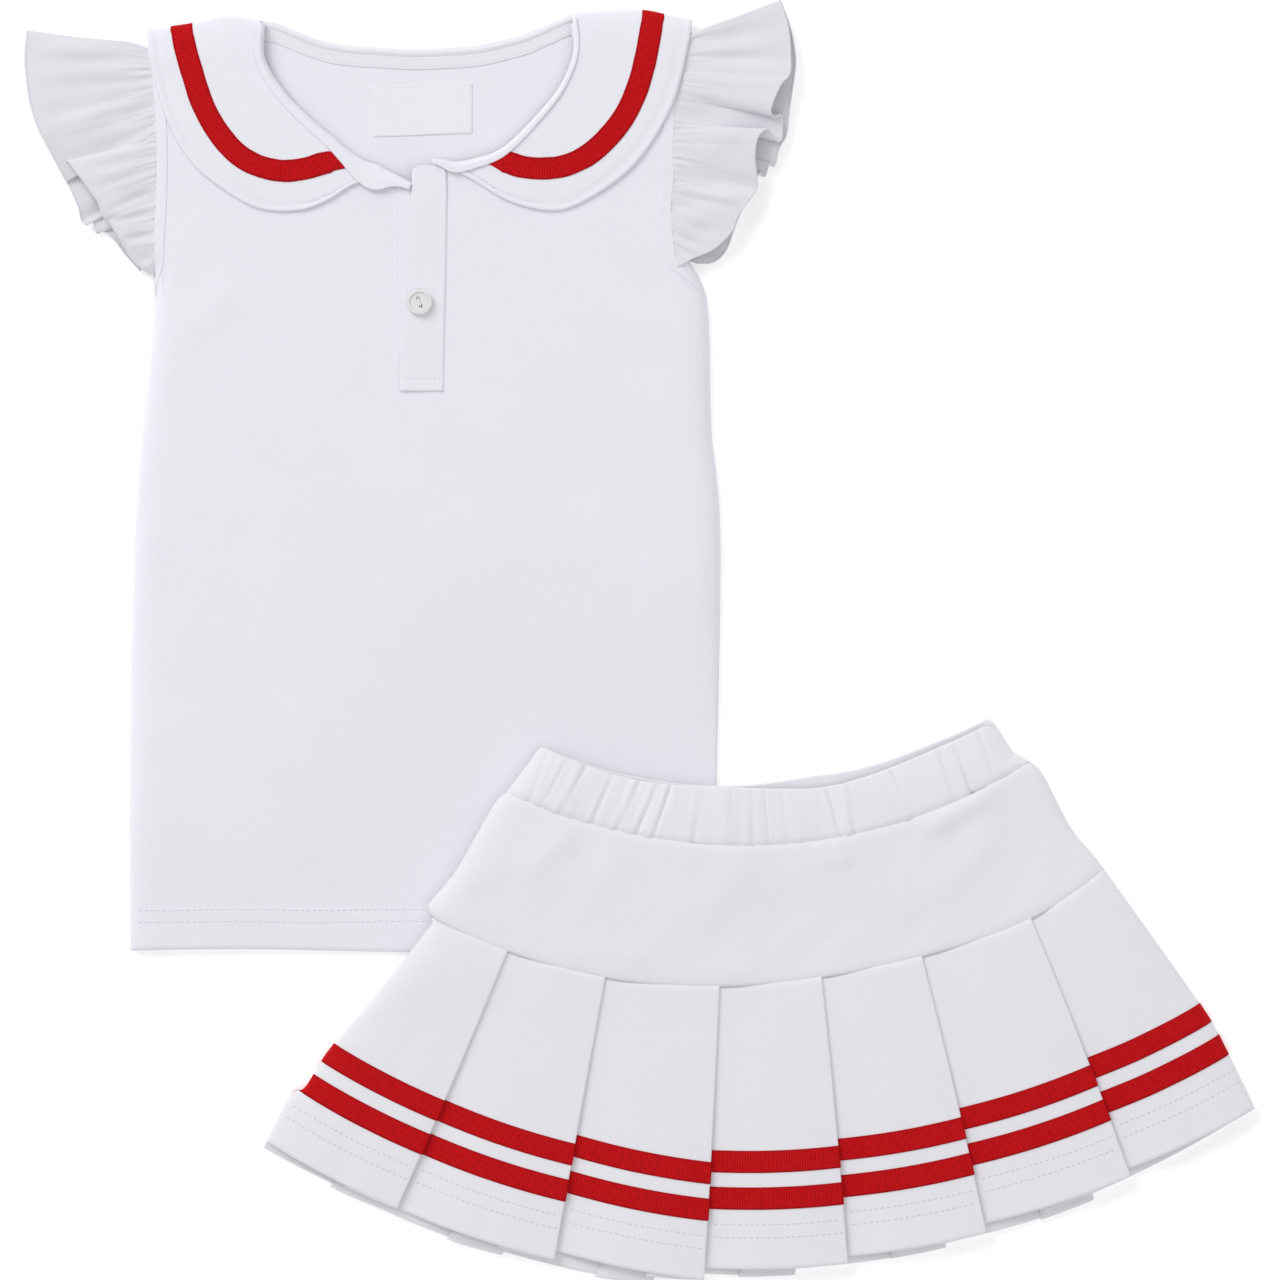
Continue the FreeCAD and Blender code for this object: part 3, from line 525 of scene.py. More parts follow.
def stitches(name, rows, material, pitch, length, width):
    """Short thread stitches along rows of places. Each row is (path, way up)."""
    around = np.linspace(0, 2 * math.pi, 6, endpoint=False)
    stations = [(-0.5, 0.15), (-0.32, 0.8), (0, 1.0), (0.32, 0.8), (0.5, 0.15)]
    ring = np.array([(s, r * math.cos(a), r * math.sin(a)) for s, r in stations for a in around])
    index = np.arange(len(ring)).reshape(len(stations), len(around))
    beside = np.roll(index, -1, 1)
    body = np.stack([index[:-1], beside[:-1], beside[1:], index[1:]], 2).reshape(-1, 4)
    points, faces = [], []
    for path, up in rows:
        run = np.concatenate([[0], np.cumsum(np.linalg.norm(np.diff(path, axis=0), axis=1))])
        for at in np.arange(pitch, run[-1] - pitch / 2, pitch):
            here = [np.interp(at, run, path[:, k]) for k in range(3)]
            there = [np.interp(at + 0.4, run, path[:, k]) for k in range(3)]
            way = np.subtract(there, here)
            way /= max(np.linalg.norm(way), 1e-9)
            rise = np.array([np.interp(at, run, up[:, k]) for k in range(3)])
            rise /= max(np.linalg.norm(rise), 1e-9)
            side = np.cross(rise, way)
            count = len(points) * len(ring)
            oval = ring[:, 1:2] * side * width / 2 + ring[:, 2:] * rise * width / 2.6
            points.append(np.array(here) + ring[:, :1] * way * length + oval)
            faces += (body + count).tolist()
            faces += [(index[0] + count).tolist(), (index[-1][::-1] + count).tolist()]
    points = np.vstack(points)
    return make_object(name, points, faces, np.zeros((len(points), 2)), material)


def lifted(grid, amount):
    """A grid moved along its normals."""
    return grid + grid_normals(grid) * amount


# ---- materials

class Nodes:
    """A short way to write a material's nodes."""

    def __init__(self, name):
        self.material = bpy.data.materials.new(name)
        self.material.use_nodes = True
        self.tree = self.material.node_tree
        self.shader = self.tree.nodes["Principled BSDF"]

    def add(self, kind, settings=(), **inputs):
        """One node. Its inputs go by name, or by number as i0 and i1."""
        node = self.tree.nodes.new(kind)
        for key, value in dict(settings).items():
            setattr(node, key, value)
        for key, value in inputs.items():
            socket = node.inputs[int(key[1:])] if key[0] == "i" and key[1:].isdigit() else node.inputs[key]
            self.put(socket, value)
        return node.outputs[0]

    def put(self, socket, value):
        if isinstance(value, bpy.types.NodeSocket):
            self.tree.links.new(value, socket)
        else:
            socket.default_value = value

    def math(self, operation, a, b=0.0):
        return self.add("ShaderNodeMath", {"operation": operation}, i0=a, i1=b)

    def noise(self, scale, detail=3.0, rough=0.55):
        place = self.tree.nodes.new("ShaderNodeTexCoord").outputs["Object"]
        return self.add("ShaderNodeTexNoise", Vector=place, Scale=scale, Detail=detail, Roughness=rough)

    def on_cloth(self, axis):
        """Millimetres along one direction of the cloth."""
        place = self.add("ShaderNodeUVMap", {"uv_map": "cloth"})
        split = self.tree.nodes.new("ShaderNodeSeparateXYZ")
        self.tree.links.new(place, split.inputs[0])
        return split.outputs[axis]

    def rib(self, axis, period):
        """A wave from -1 to 1 along one direction of the cloth, period in millimetres."""
        return self.math("SINE", self.math("MULTIPLY", self.on_cloth(axis), 2 * math.pi / period))

    def colour(self, factor, dark, light):
        """A mix of two colours."""
        node = self.tree.nodes.new("ShaderNodeMix")
        node.data_type = "RGBA"
        self.put(node.inputs["Factor"], factor)
        node.inputs["A"].default_value = (*dark, 1)
        node.inputs["B"].default_value = (*light, 1)
        return node.outputs["Result"]

    def finish(self, colour, height, bump, roughness, sheen=0.0, coat=0.0, specular=0.3):
        """Joins everything to the shader and hands back the material."""
        bumped = self.add("ShaderNodeBump", Height=height, Strength=bump, Distance=BUMP_DEPTH)
        inputs = {
            "Base Color": colour, "Roughness": roughness, "Sheen Weight": sheen, "Sheen Roughness": 0.4,
            "Coat Weight": coat, "Coat Roughness": 0.15, "Specular IOR Level": specular, "Normal": bumped,
        }
        for name, value in inputs.items():
            self.put(self.shader.inputs[name], value)
        return self.material


def woven(name, dark, light, wale, course, bump, roughness, sheen):
    """Knit or woven cloth: fine ribs both ways, slightly uneven in colour and surface."""
    n = Nodes(name)
    mottle = n.noise(420.0, 4.0, 0.65)
    cloud = n.noise(38.0, 3.0)
    ribs = n.math("MULTIPLY", n.rib(0, wale), n.rib(1, course))
    height = n.math("ADD", n.math("MULTIPLY", ribs, 0.35), n.math("MULTIPLY", mottle, 1.1))
    shade = n.math("ADD", n.math("MULTIPLY", mottle, 0.55), n.math("MULTIPLY", cloud, 0.45))
    return n.finish(n.colour(shade, dark, light), height, bump, roughness, sheen)


def grosgrain(name, dark, light, rib):
    """Ribbon with ribs straight across it and a plain selvedge along each edge. Its colour darkens in the
    grooves between the ribs: painted shade.
    """
    n = Nodes(name)
    wave = n.rib(0, rib)
    mottle = n.noise(520.0, 3.0)
    from_middle = n.math("ABSOLUTE", n.math("SUBTRACT", n.on_cloth(1), RIBBON_W / 2))
    edge = n.math("MULTIPLY", n.math("GREATER_THAN", from_middle, RIBBON_W / 2 - 0.55), 0.55)
    height = n.math("ADD", n.math("MULTIPLY", wave, 0.5), n.math("MULTIPLY", mottle, 0.3))
    # Colour follows the ribs and is darker in their grooves: painted shade. The mottle is the ribbon's own
    # uneven tone.
    shade = n.math("ADD", n.math("MULTIPLY", wave, 0.42), n.math("SUBTRACT", mottle, edge))
    return n.finish(n.colour(shade, dark, light), height, 0.55, 0.75, specular=0.12)


def make_materials():
    """Every finish by its look."""
    looks = {look: woven(*finish) for look, finish in CLOTHS.items()}
    looks["ribbon"] = grosgrain("red_ribbon", *RIBBON_COLOURS, RIBBON_RIB)
    n = Nodes("button_shell")
    cloud = n.noise(160.0, 4.0, 0.6)
    looks["button"] = n.finish(n.colour(cloud, *BUTTON_COLOURS), cloud, 0.12, 0.28, 0.0, 0.5)
    return looks


LOOKS = make_materials()


# ---- how pieces go with the frame

def place(piece, look, body, nodes=(), flat=None, area=None, held="laid", rests_on=()):
    """Hangs a piece on the body it rides on, or bakes it in place, and hides the frame's parts that it
    stands for. Its finish and the size of its flat cloth are not used.
    """
    if isinstance(body, str):
        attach(piece, body)
    else:
        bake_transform(piece)
    if nodes:
        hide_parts(*nodes)
    return piece


def lay(name, grids, thick, look, body, nodes, flat, area=None, held="laid", rests_on=()):
    """Makes a piece of cloth and places it."""
    place(cloth(name, grids, thick, LOOKS[look]), look, body, nodes, flat, area, held, rests_on)


def sew(name, rows, body, seam, look="thread"):
    """Stitches along rows of (path, way up)."""
    place(stitches(f"stitches_{name}", rows, LOOKS[look], *SEAMS[seam]), look, body)


def across_joint(body, start, end):
    """The top, one of its moving bodies and two plan places on the top, given as places on the table."""
    def world(p):
        return ((p[0] + TOP_X) * MM, p[1] * MM, 0.0)

    return ("top", body, world(start), world(end))


def in_place(grid):
    """The top's own measure, moved to the table."""
    moved = np.array(grid, float)
    moved[..., 0] += TOP_X
    return moved


def upright(path):
    """A stitch row along a path, as (path, way up)."""
    return path, np.tile([0.0, 0.0, 1.0], (len(path), 1))


# ---- heights of the top

def polar(x, y):
    """Radius and angle in degrees about the skirt's centre, for places on the table."""
    dx, dy = x - SKIRT_X, SKIRT_Y - y
    return np.hypot(dx, dy), np.degrees(np.arctan2(dx, dy))


def clear_of_skirt(x, y):
    """How far outside the skirt a place on the top is."""
    r, deg = polar(x + TOP_X, y)
    above = np.maximum(SKIRT_TOP_R - r, 0)
    side = along(SKIRT_LEFT, np.clip(r, SKIRT_LEFT[0][0], SKIRT_LEFT[-1][0]))
    beside = np.maximum(side - deg, 0) * r * math.pi / 180
    return np.hypot(above, beside)


def over_care_label(x, y):
    """1 where the care label lies between front and back, 0 elsewhere."""
    low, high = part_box("care_label")
    across = np.minimum(x + TOP_X - low[0] / MM, high[0] / MM - x - TOP_X)
    down = np.minimum(y - low[1] / MM, high[1] / MM - y)
    return ramp(np.minimum(across, down), -0.8, 0.8)


def edges_at(y):
    """X of the top's left and right edges."""
    return along(LEFT_EDGE, y), along(RIGHT_EDGE, y)


def front_height(x, y):
    """Middle of the front's cloth."""
    left, right = edges_at(y)
    inward = np.minimum(x - left, right - x)
    down = along(TOP_EDGE, x) - y
    settle = mix(HEM_Z_SHARE, 1.0, ramp(y, HEM_Y - 6, HEM_Y + 70))
    edge = mix(SEAM_Z, ARMHOLE_EDGE_Z, ramp(y, *ARMHOLE_Y))
    full = mix(edge, FRONT_Z, dome(inward, SIDE_ROLL)) * settle
    full = mix(SHOULDER_Z, full, dome(down, SHOULDER_ROLL))
    wave = 0.55 * ripples(x, y * 0.7, 74, 3) + 0.28 * ripples(x + y * 0.5, y, 33, 4)
    arm = sum(np.exp(-((x - at) / 26) ** 2 - ((y - up) / reach) ** 2) for at, up, reach in ARM_DRAGS)
    drag = 0.5 * arm * np.sin((x * np.sign(x) * 0.8 + y) / 7.5)
    full = full + (wave + drag) * ramp(inward, 0, 30) * ramp(down, 40, 90) + 0.3 * over_care_label(x, y)
    return mix(BY_SKIRT_Z, full, ramp(clear_of_skirt(x, y), *BY_SKIRT_REACH))


def hemmed_height(x, y):
    """The same, with the doubled hem."""
    return front_height(x, y) + HEM_RISE * ramp(HEM_Y + HEM_TURNED - y, 0, 1.5)


def back_height(x, y):
    """Middle of the back's cloth, with small flutes below the neck tape."""
    left, right = edges_at(y)
    raised = 1 - ramp(along(TOP_EDGE, x) - y, *BACK_RAISED_DOWN)
    side = ramp(np.minimum(x - left, right - x), 0, 6)
    flutes = 0.35 * np.sin(x / 6.2 + 1.5 * ripples(x, y, 40, 8)) * ramp(y, 205, 225) * ramp(262 - y, 8, 30)
    return mix(SEAM_Z - 0.55, mix(BACK_Z, BACK_RAISED_Z, raised), side) + np.maximum(flutes, -0.2) * raised


def top_outline(count):
    """The front's upper edge: left shoulder, down round the neck, and the right shoulder."""
    left = [(-137.5, 304), (-110, 308)] + LEFT_NECK[::-1]
    right = RIGHT_NECK + [(105, 311.5), (134.5, 308)]
    return curve(left + right, count)


def front_cloth():
    """Straight rows up to the armholes, then rows that bend up to the neck and the shoulders."""
    columns, rows, lower_rows = 150, 210, 142
    upper = top_outline(columns)
    u = np.linspace(0, 1, columns)
    grid = np.zeros((rows, columns, 3))
    for i, y in enumerate(np.linspace(HEM_Y, STRAIGHT_ROWS_Y, lower_rows)):
        grid[i, :, 0] = mix(*edges_at(y), u)
        grid[i, :, 1] = y + 0.8 * np.sin(u * 9) * ramp(HEM_Y + 30 - y, 0, 30)
    start = grid[lower_rows - 1, :, :2]
    for i, t in enumerate(np.linspace(0, 1, rows - lower_rows + 1)[1:]):
        plan = mix(start, upper, t)
        plan[:, 0] = np.clip(plan[:, 0], *edges_at(plan[:, 1]))
        grid[lower_rows + i, :, :2] = plan
    grid[..., 2] = hemmed_height(grid[..., 0], grid[..., 1])
    lay("front_cloth", in_place(grid), KNIT, "knit", "top", ["front_panel"], (285, 470), 285 * 425,
        rests_on=["back_cloth"])


def back_cloth():
    """The back, inside the front's outline, with the top edge seen behind the neck."""
    columns, rows = 120, 170
    u = np.linspace(0, 1, columns)
    grid = np.zeros((rows, columns, 3))
    for i, t in enumerate(np.linspace(0, 1, rows)):
        y = mix(HEM_Y + 0.8, along(TOP_EDGE, mix(-137, 134, u)) - 0.6, t)
        left, right = edges_at(y)
        grid[i, :, 0] = mix(left + 0.5, right - 0.5, u)
        grid[i, :, 1] = y
    grid[..., 2] = back_height(grid[..., 0], grid[..., 1])
    lay("back_cloth", in_place(grid), KNIT, "knit", "top", ["back_panel"], (285, 470), 285 * 450,
        rests_on=["collar_back_cloth"])


def row_on(height, line, lift):
    """A stitch row along a plan line of the top, lifted off a height."""
    return upright(in_place(np.column_stack([line, height(line[:, 0], line[:, 1]) + lift])))


def top_hem_stitches():
    """The twin-needle hem of the top."""
    rows = []
    for rise in HEM_STITCHES:
        left, right = edges_at(HEM_Y + rise)
        line = np.column_stack([np.linspace(left + 2, right - 2, 200), np.full(200, HEM_Y + rise)])
        line[:, 1] += 0.5 * ripples(line[:, 0], line[:, 1], 40, 5)
        rows.append(row_on(hemmed_height, line, KNIT / 2))
    sew("top_hem", rows, "top", "top_hem", "hem_thread_shaded")


def neck_tape():
    """Tape inside the back neck, sewn along both edges."""
    across = np.linspace(-83, 79, 90)
    upper = np.column_stack([across, along(TOP_EDGE, across) - 0.9])
    lower = upper - [0, NECK_TAPE_W]
    t = dense_ends(26, 0.02)
    plan = between(upper, lower, t)
    roll = 0.55 * np.exp(-((t - 0.17) / 0.13) ** 2) - 0.35 * np.exp(-((t - 0.38) / 0.05) ** 2)
    z = back_height(plan[..., 0], plan[..., 1]) + KNIT / 2 + 0.3 + roll * ramp(t, 0, 0.06)
    grid = np.dstack([plan, z])[:, ::-1]
    lay("neck_tape", in_place(grid), TAPE, "tape", "top", ["neck_binding"], (10, 170),
        rests_on=["back_cloth"])
    rows = [row_on(back_height, mix(upper, lower, inset), KNIT / 2 + 0.5) for inset in (0.46, 0.86)]
    sew("neck_tape", rows, "top", "band")


def neck_band(name, points, collar_side):
    """The folded band along one side of the front neckline, lying over the collar's inner edge."""
    line = curve(points, 110)

    def height(x, y, side):
        roll = dome((side * collar_side + 1) * 3.0, 3.4)
        return front_height(x, y) + mix(BAND_OUTER_Z, BAND_Z, roll) + 0.16 * ripples(x, y, 7, 12)

    grid = strip_grid(line, line[:, 2], 12, height)
    lay(name, in_place(grid), BAND, "knit", "top", ["neck_binding"], (10, 118), 9 * 118,
        rests_on=["front_cloth"])
    edge = grid[:, 3 if collar_side > 0 else -4]
    sew(name, [upright(in_place(edge + [0, 0, 0.4]))], "top", "band")


def meet_shoulder(plan):
    """Moves the first rows of a plan so that it starts square on the shoulder's edge."""
    gap = along(TOP_EDGE, plan[0, :, 0]) - 2.4 - plan[0, :, 1]
    down = np.linalg.norm(plan[..., :2] - plan[:1, :, :2], axis=2)
    plan[..., 1] += gap * (1 - ramp(down, 0, 26))


def fold_under(row, turns, low, out):
    """Rows that carry cloth round the shoulder's edge and down to the height low, from a row of places."""
    fold = []
    for turn in turns:
        angle = turn * math.pi
        level = mix(low, row[:, 2], (1 + math.cos(angle)) / 2)
        fold.append(np.column_stack([row[:, :2] + np.array([0, out * math.sin(angle)]), level]))
    return fold


def collar_height(x, y):
    """Middle of the collar, where it lies on the front."""
    return front_height(x, y) + COLLAR_LIFT


def collar_waves(x, y):
    return 0.3 * ripples(x, y, 26, 14)


def collar_ribbon(side, points, joint):
    """The ribbon along one half of the collar, from behind the shoulder to the neck band."""
    count = 130
    line = curve(points, count)

    def height(x, y, _=0):
        return collar_height(x, y) + collar_waves(x, y) + COLLAR / 2 + SEWN_LIFT

    pucker = 0.16 * ripples(np.arange(count), np.zeros(count), 4, 19)
    to_end = np.linalg.norm(line - line[-1], axis=1)
    half_width = (RIBBON_W / 2 + pucker) * mix(0.06, 1.0, np.clip(to_end / RIBBON_TAPER, 0, 1) ** 0.8)
    strip = strip_grid(line, half_width, 12, height)
    meet_shoulder(strip)
    strip[..., 2] = height(strip[..., 0], strip[..., 1])
    fold = fold_under(strip[0], np.linspace(0.2, 1, 6), 0.5, 2.35)
    lay(f"collar_ribbon_{side}_cloth", in_place(np.array(fold[::-1] + list(strip))), RIBBON, "ribbon",
        joint, [f"collar_ribbon_{side}"], (10.8, 132), rests_on=[f"collar_{side}_cloth"])
    return [upright(in_place(strip[:, column] + [0, 0, SEWN_LIFT])) for column in (2, -3)]


def collar_half(side, inner, outer, ribbon):
    """One half of the collar, from behind the shoulder to the placket, with its ribbon and topstitching."""
    rows, columns = 150, 30
    a, b = curve(inner, rows), curve(outer, rows)
    plan = between(a, b, dense_ends(columns, 0.015))
    from_edge = np.linalg.norm(plan - b[:, None], axis=2)
    meet_shoulder(plan)
    z = collar_height(plan[..., 0], plan[..., 1])
    groove = np.exp(-((from_edge - EDGE_STITCH) / 0.7) ** 2)
    swell = 0.35 * np.exp(-((from_edge - 1.2) / 1.0) ** 2)
    z += swell - 0.6 * groove + collar_waves(plan[..., 0], plan[..., 1])
    front = np.dstack([plan, z])
    wrap = fold_under(front[0], np.linspace(0.15, 1, 9), 1.3, 1.9)
    for step in (4.0, 9.0, 14.0):
        wrap.append(np.column_stack([front[0, :, :2] - np.array([0, step]), np.full(columns, 1.25)]))
    grid = np.concatenate([np.array(wrap[::-1]), front])
    if side == "right":
        grid = grid[:, ::-1]
    joint = across_joint(f"collar_{side}", *COLLAR_BLEND[side])
    lay(f"collar_{side}_cloth", in_place(grid), COLLAR, "knit", joint, [f"collar_{side}"], (62, 165),
        62 * 120, held="folded", rests_on=["front_cloth"])
    ribbon_rows = collar_ribbon(side, ribbon, joint)

    inward = np.array([np.interp(EDGE_STITCH, f[::-1], np.arange(columns)[::-1]) for f in from_edge])
    index = np.arange(rows)
    low = np.floor(inward).astype(int)
    part = (inward - low)[:, None]
    path = front[index, low] * (1 - part) + front[index, np.minimum(low + 1, columns - 1)] * part
    sew(f"collar_{side}", [upright(in_place(path + [0, 0, COLLAR / 2]))], joint, "collar")
    sew(f"ribbon_{side}", ribbon_rows, joint, "ribbon", "ribbon")


def collar_back():
    """The collar behind the neck, folded under the back, with its ribbon beneath it."""
    edge, foot = curve(COLLAR_BACK_EDGE, 90), curve(COLLAR_BACK_FOOT, 90)
    plan = between(edge, foot, dense_ends(16, 0.02))
    grid = np.dstack([plan, np.full(plan.shape[:2], 1.12)])[:, ::-1]
    lay("collar_back_cloth", in_place(grid), 1.0, "knit", "top", ["collar_back"], (52, 280), 52 * 262,
        held="folded", rests_on=["back_cloth"])
    line = mix(edge, foot, 0.72)
    strip = strip_grid(line, RIBBON_W / 2, 8, lambda x, y, _: np.full(x.shape, 0.3))
    lay("collar_ribbon_back_cloth", in_place(strip), RIBBON, "ribbon", "top", ["collar_ribbon_back"],
        (10.8, 275), rests_on=["collar_back_cloth"])


# ---- placket, labels and button

def placket_lift(across):
    """How far the strip's middle lies above the front, from its left side to its sewn right side."""
    return mix(1.2, 0.78, ramp(across, 0.1, 0.9))


def strip_plan(points, count, t):
    """The rows of a strip given by Y and its two edges, with its plan places."""
    rows = curve(points, count)
    y, left, right = rows.T[:, :, None]
    x = left * (1 - t) + right * t
    return rows, x, np.broadcast_to(y, x.shape)


def placket():
    """The strip on top, with its stitching."""
    line, x, y = strip_plan(PLACKET, 120, dense_ends(18, 0.03))
    left, right = line[:, 1][:, None], line[:, 2][:, None]
    across = (x - left) / (right - left)
    lift = placket_lift(across) + 0.35 * ramp(y, 205, 232) + 0.1 * ripples(x, y, 16, 21)
    lift = lift - 0.35 * ramp(across, 0.96, 1.0)
    ridge = 0.16 * np.exp(-((x - right + 0.9) / 0.6) ** 2)
    groove = 0.2 * np.exp(-((x - right + 2.0) / 0.5) ** 2)
    foot = 0.22 * np.exp(-((y - PLACKET_FOOT_Y) / 0.6) ** 2)
    z = front_height(x, y) + lift + ridge - groove - foot
    joint = across_joint("placket_flap", (0, PLACKET_FOLD[0]), (0, PLACKET_FOLD[1]))
    lay("placket_cloth", in_place(np.dstack([x, y, z])[:, ::-1]), BAND, "knit", joint,
        ["placket_overlap", "placket_flap"], (22, 112), held="folded", rests_on=["front_cloth"])
    rows = []
    for inset, rise in ((2.0, 1.12), (0.0, 0.85)):
        rows.append(row_on(front_height, np.column_stack([line[8:, 2] - inset, line[8:, 0]]), rise))
    foot_line = np.column_stack([np.linspace(-9.4, 9.4, 40), np.full(40, PLACKET_FOOT_Y)])
    rows.append(row_on(front_height, foot_line, placket_lift(np.linspace(0.05, 0.93, 40)) + 0.2))
    sew("placket", rows, joint, "placket")


def underlap():
    """The strip beneath, which carries the button."""
    _, x, y = strip_plan(UNDERLAP, 70, dense_ends(18, 0.03))
    grid = np.dstack([x, y, front_height(x, y) + mix(0.15, 0.6, ramp(y, 128, 152))])[:, ::-1]
    lay("underlap_cloth", in_place(grid), BINDING, "knit", "top", ["placket_underlap"], (19, 100),
        held="folded", rests_on=["front_cloth"])
    line = np.column_stack([np.full(60, -12.0), np.linspace(226, 178, 60)])
    sew("underlap", [row_on(front_height, line, 0.85)], "top", "band")


def buttonhole():
    """A corded rim of thread round the slit behind the button."""
    low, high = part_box("button")
    x = (low[0] + high[0]) / 2 / MM - TOP_X
    y = (low[1] + high[1]) / 2 / MM
    turn = np.linspace(0, 2 * math.pi, 60)
    x, y = x + BUTTONHOLE_W / 2 * np.cos(turn), y + BUTTONHOLE / 2 * np.sin(turn)
    path = np.column_stack([x, y, front_height(x, y) + BUTTONHOLE_LIFT])
    place(tube("buttonhole_rim", in_place(path), 0.34, LOOKS["thread"], 6), "thread", "top")


def flat_label(name, node, flat):
    """A blank woven label, sewn to the back all round."""
    low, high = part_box(node)
    x0, x1 = low[0] / MM - TOP_X, high[0] / MM - TOP_X
    y0, y1 = low[1] / MM, high[1] / MM
    x, y = np.meshgrid(mix(x0, x1, dense_ends(40)), mix(y0, y1, dense_ends(24)))
    y = y + 0.8 * (x - x0) / (x1 - x0) + 0.4 * np.sin(x / 13)
    z = back_height(x, y) + KNIT / 2 + 0.3 + 0.12 * ripples(x, y, 11, 33)
    grid = np.dstack([x, y, z])
    lay(name, in_place(grid), LABEL, "label", "top", [node], flat, rests_on=["back_cloth"])
    inner = grid[2:-2, 2:-2]
    loop = np.concatenate([inner[0], inner[:, -1], inner[-1, ::-1], inner[::-1, 0]])
    sew(name, [upright(in_place(loop + [0, 0, SEWN_LIFT]))], "top", "label")


def armhole_band(side, seam):
    """The band inside the armhole seam, with its row of stitches."""
    line = curve([(x, y) for y, x in seam] + ARMHOLE_FOOT[side], 120)
    inward = 1 if side == "left" else -1
    half_width = BINDING_W / 2 * mix(0.12, 1.0, ramp(np.arange(120), 119, 100))
    shift = line + np.column_stack([inward * (half_width + 0.1), np.zeros(120)])
    grid = strip_grid(shift, half_width, 8, lambda x, y, _: front_height(x, y) + KNIT / 2 + 0.16)
    lay(f"armhole_band_{side}", in_place(grid), BINDING, "knit", "top", [f"armhole_binding_{side}"],
        (10, 118), 5 * 118, rests_on=["front_cloth"])
    rows = [row_on(front_height, line + np.array([inward * BINDING_STITCH, 0]), KNIT / 2 + 0.35)]
    sew(f"armhole_{side}", rows, "top", "armhole")


# ---- sleeves

def sleeve(side, seam, front, back):
    """A gathered ruffle, doubled over at the shoulder: the back layer, the fold, and the front layer."""
    turned = [(*row, 1.3) for row in back[::-1]]
    faced = [(*row, 6.3) for row in front]
    path = curve(turned + faced, 520)
    root_y, hem, root_z = path[:, 0], path[:, 1:4], path[:, 4]
    root_x = along(seam, root_y, 200)
    out = -1 if side == "left" else 1
    root_z = mix(root_z, front_height(root_x - out, root_y) + 0.1, ramp(root_z, 1.5, 6.2))
    v = np.concatenate([np.linspace(0, 0.985, 46), [1.0]])
    grid = between(np.column_stack([root_x - out, root_y, root_z]), hem, v)
    shoulder = np.exp(-((root_y - root_y.max()) / 7) ** 2)[:, None]
    grid[..., 1] += SHOULDER_BOW[side] * shoulder * v / BOW_AT * np.exp(1 - v / BOW_AT)
    run = np.concatenate([[0], np.cumsum(np.abs(np.diff(root_y)) + 0.12)])
    seed = 41 if side == "left" else 51

    def gathers(size, number):
        return ripples(run, run * 0, size, seed + number)[:, None]

    fade = np.exp(-v / (0.15 + 0.11 * gathers(3.1, 3)))
    mid = np.sin(v * math.pi) ** 1.2
    fine = 0.7 * (1.3 * gathers(2.3, 0) + 0.8 * gathers(1.1, 1)) * fade
    grid[..., 2] += (fine + 1.5 * gathers(4.6, 2) * mid) * ramp(v, 0.0, 0.07)
    grid[..., 2] += 1.1 * ripples(grid[..., 0] * 0.8, grid[..., 1] * 1.3, 13, 47) * mid
    grid[..., 2] = np.maximum(grid[..., 2], 0.4)
    if side == "right":
        grid = grid[:, ::-1]
    joint = across_joint(f"sleeve_{side}", *SLEEVE_BLEND[side])
    area = SLEEVE_FLAT[0] * SLEEVE_FLAT[1] * SLEEVE_CRESCENT
    # The sleeve and its hem take the darker copy of the knit, whose colour holds painted shade.
    lay(f"sleeve_{side}_cloth", in_place(grid), SLEEVE_PLY, "ruffle", joint, [f"sleeve_{side}"],
        SLEEVE_FLAT, area, held="gathered", rests_on=[f"armhole_band_{side}"])
    edge = in_place(grid[:, -1 if side == "left" else 0])
    place(tube(f"sleeve_{side}_hem", edge, SLEEVE_HEM_R, LOOKS["ruffle"]), "ruffle", joint)


# ---- the skirt

def skirt_base(x, y):
    """What the skirt lies on: the top's corner, and the table beyond it."""
    corner_x = TOP_X + RIGHT_EDGE[0][1]
    outside = np.hypot(np.maximum(x - corner_x, 0), np.maximum(HEM_Y - y, 0))
    return mix(0.15, OVER_TOP_Z, 1 - ramp(outside, 0, 42))


def skirt_point(r, deg, z):
    """A place on the skirt, z above what it lies on."""
    angle = np.radians(deg)
    x = SKIRT_X + r * np.sin(angle)
    y = SKIRT_Y - r * np.cos(angle)
    return np.dstack([x, y, skirt_base(x, y) + z])


def side_fullness(r, deg):
    """0 at the skirt's side seams, 1 away from them."""
    left = (deg - along(SKIRT_LEFT, r)) * r * math.pi / 180
    right = (along(SKIRT_RIGHT, r) - deg) * r * math.pi / 180
    return dome(np.minimum(left, right), SKIRT_ROLL)


def skirt_front(r, deg, z):
    """z of the front layer, rolled down to the side seams and settled towards the hem."""
    sag = HEM_SAG * ramp(r, 340, 470)
    return mix(SKIRT_SEAM_Z, FRONT_LAYER_Z - sag + z, side_fullness(r, deg))


def skirt_back(r, deg, z):
    """z of the back layer."""
    return mix(SKIRT_SEAM_Z - 1.0, BACK_LAYER_Z + z, side_fullness(r, deg))


def crease_deg(creases, index, r):
    """The angle of a crease at each radius. Index 0 and the last are the sides of the skirt."""
    if index == 0:
        return along(SKIRT_LEFT, r)
    if index == PLEATS:
        return along(SKIRT_RIGHT, r)
    top, hem = creases[index - 1]
    return mix(top, hem, (r - PLEAT_TOP_R) / (PLEAT_HEM_R - PLEAT_TOP_R))


def pleat_profile(index):
    """The stretches of one pleat from left to right: hidden edge, face, fold and the part turned back."""
    profile = []
    if index > 1:
        profile += [("hidden", s) for s in np.linspace(0, 1, HIDDEN_COLUMNS, endpoint=False)]
    profile += [("face", s) for s in np.linspace(0, 1, FACE_COLUMNS)]
    if index < PLEATS:
        profile += [("fold", s) for s in np.linspace(0, 1, 9)[1:]]
        profile += [("back", s) for s in np.linspace(0, 1, 7)[1:]]
    return profile


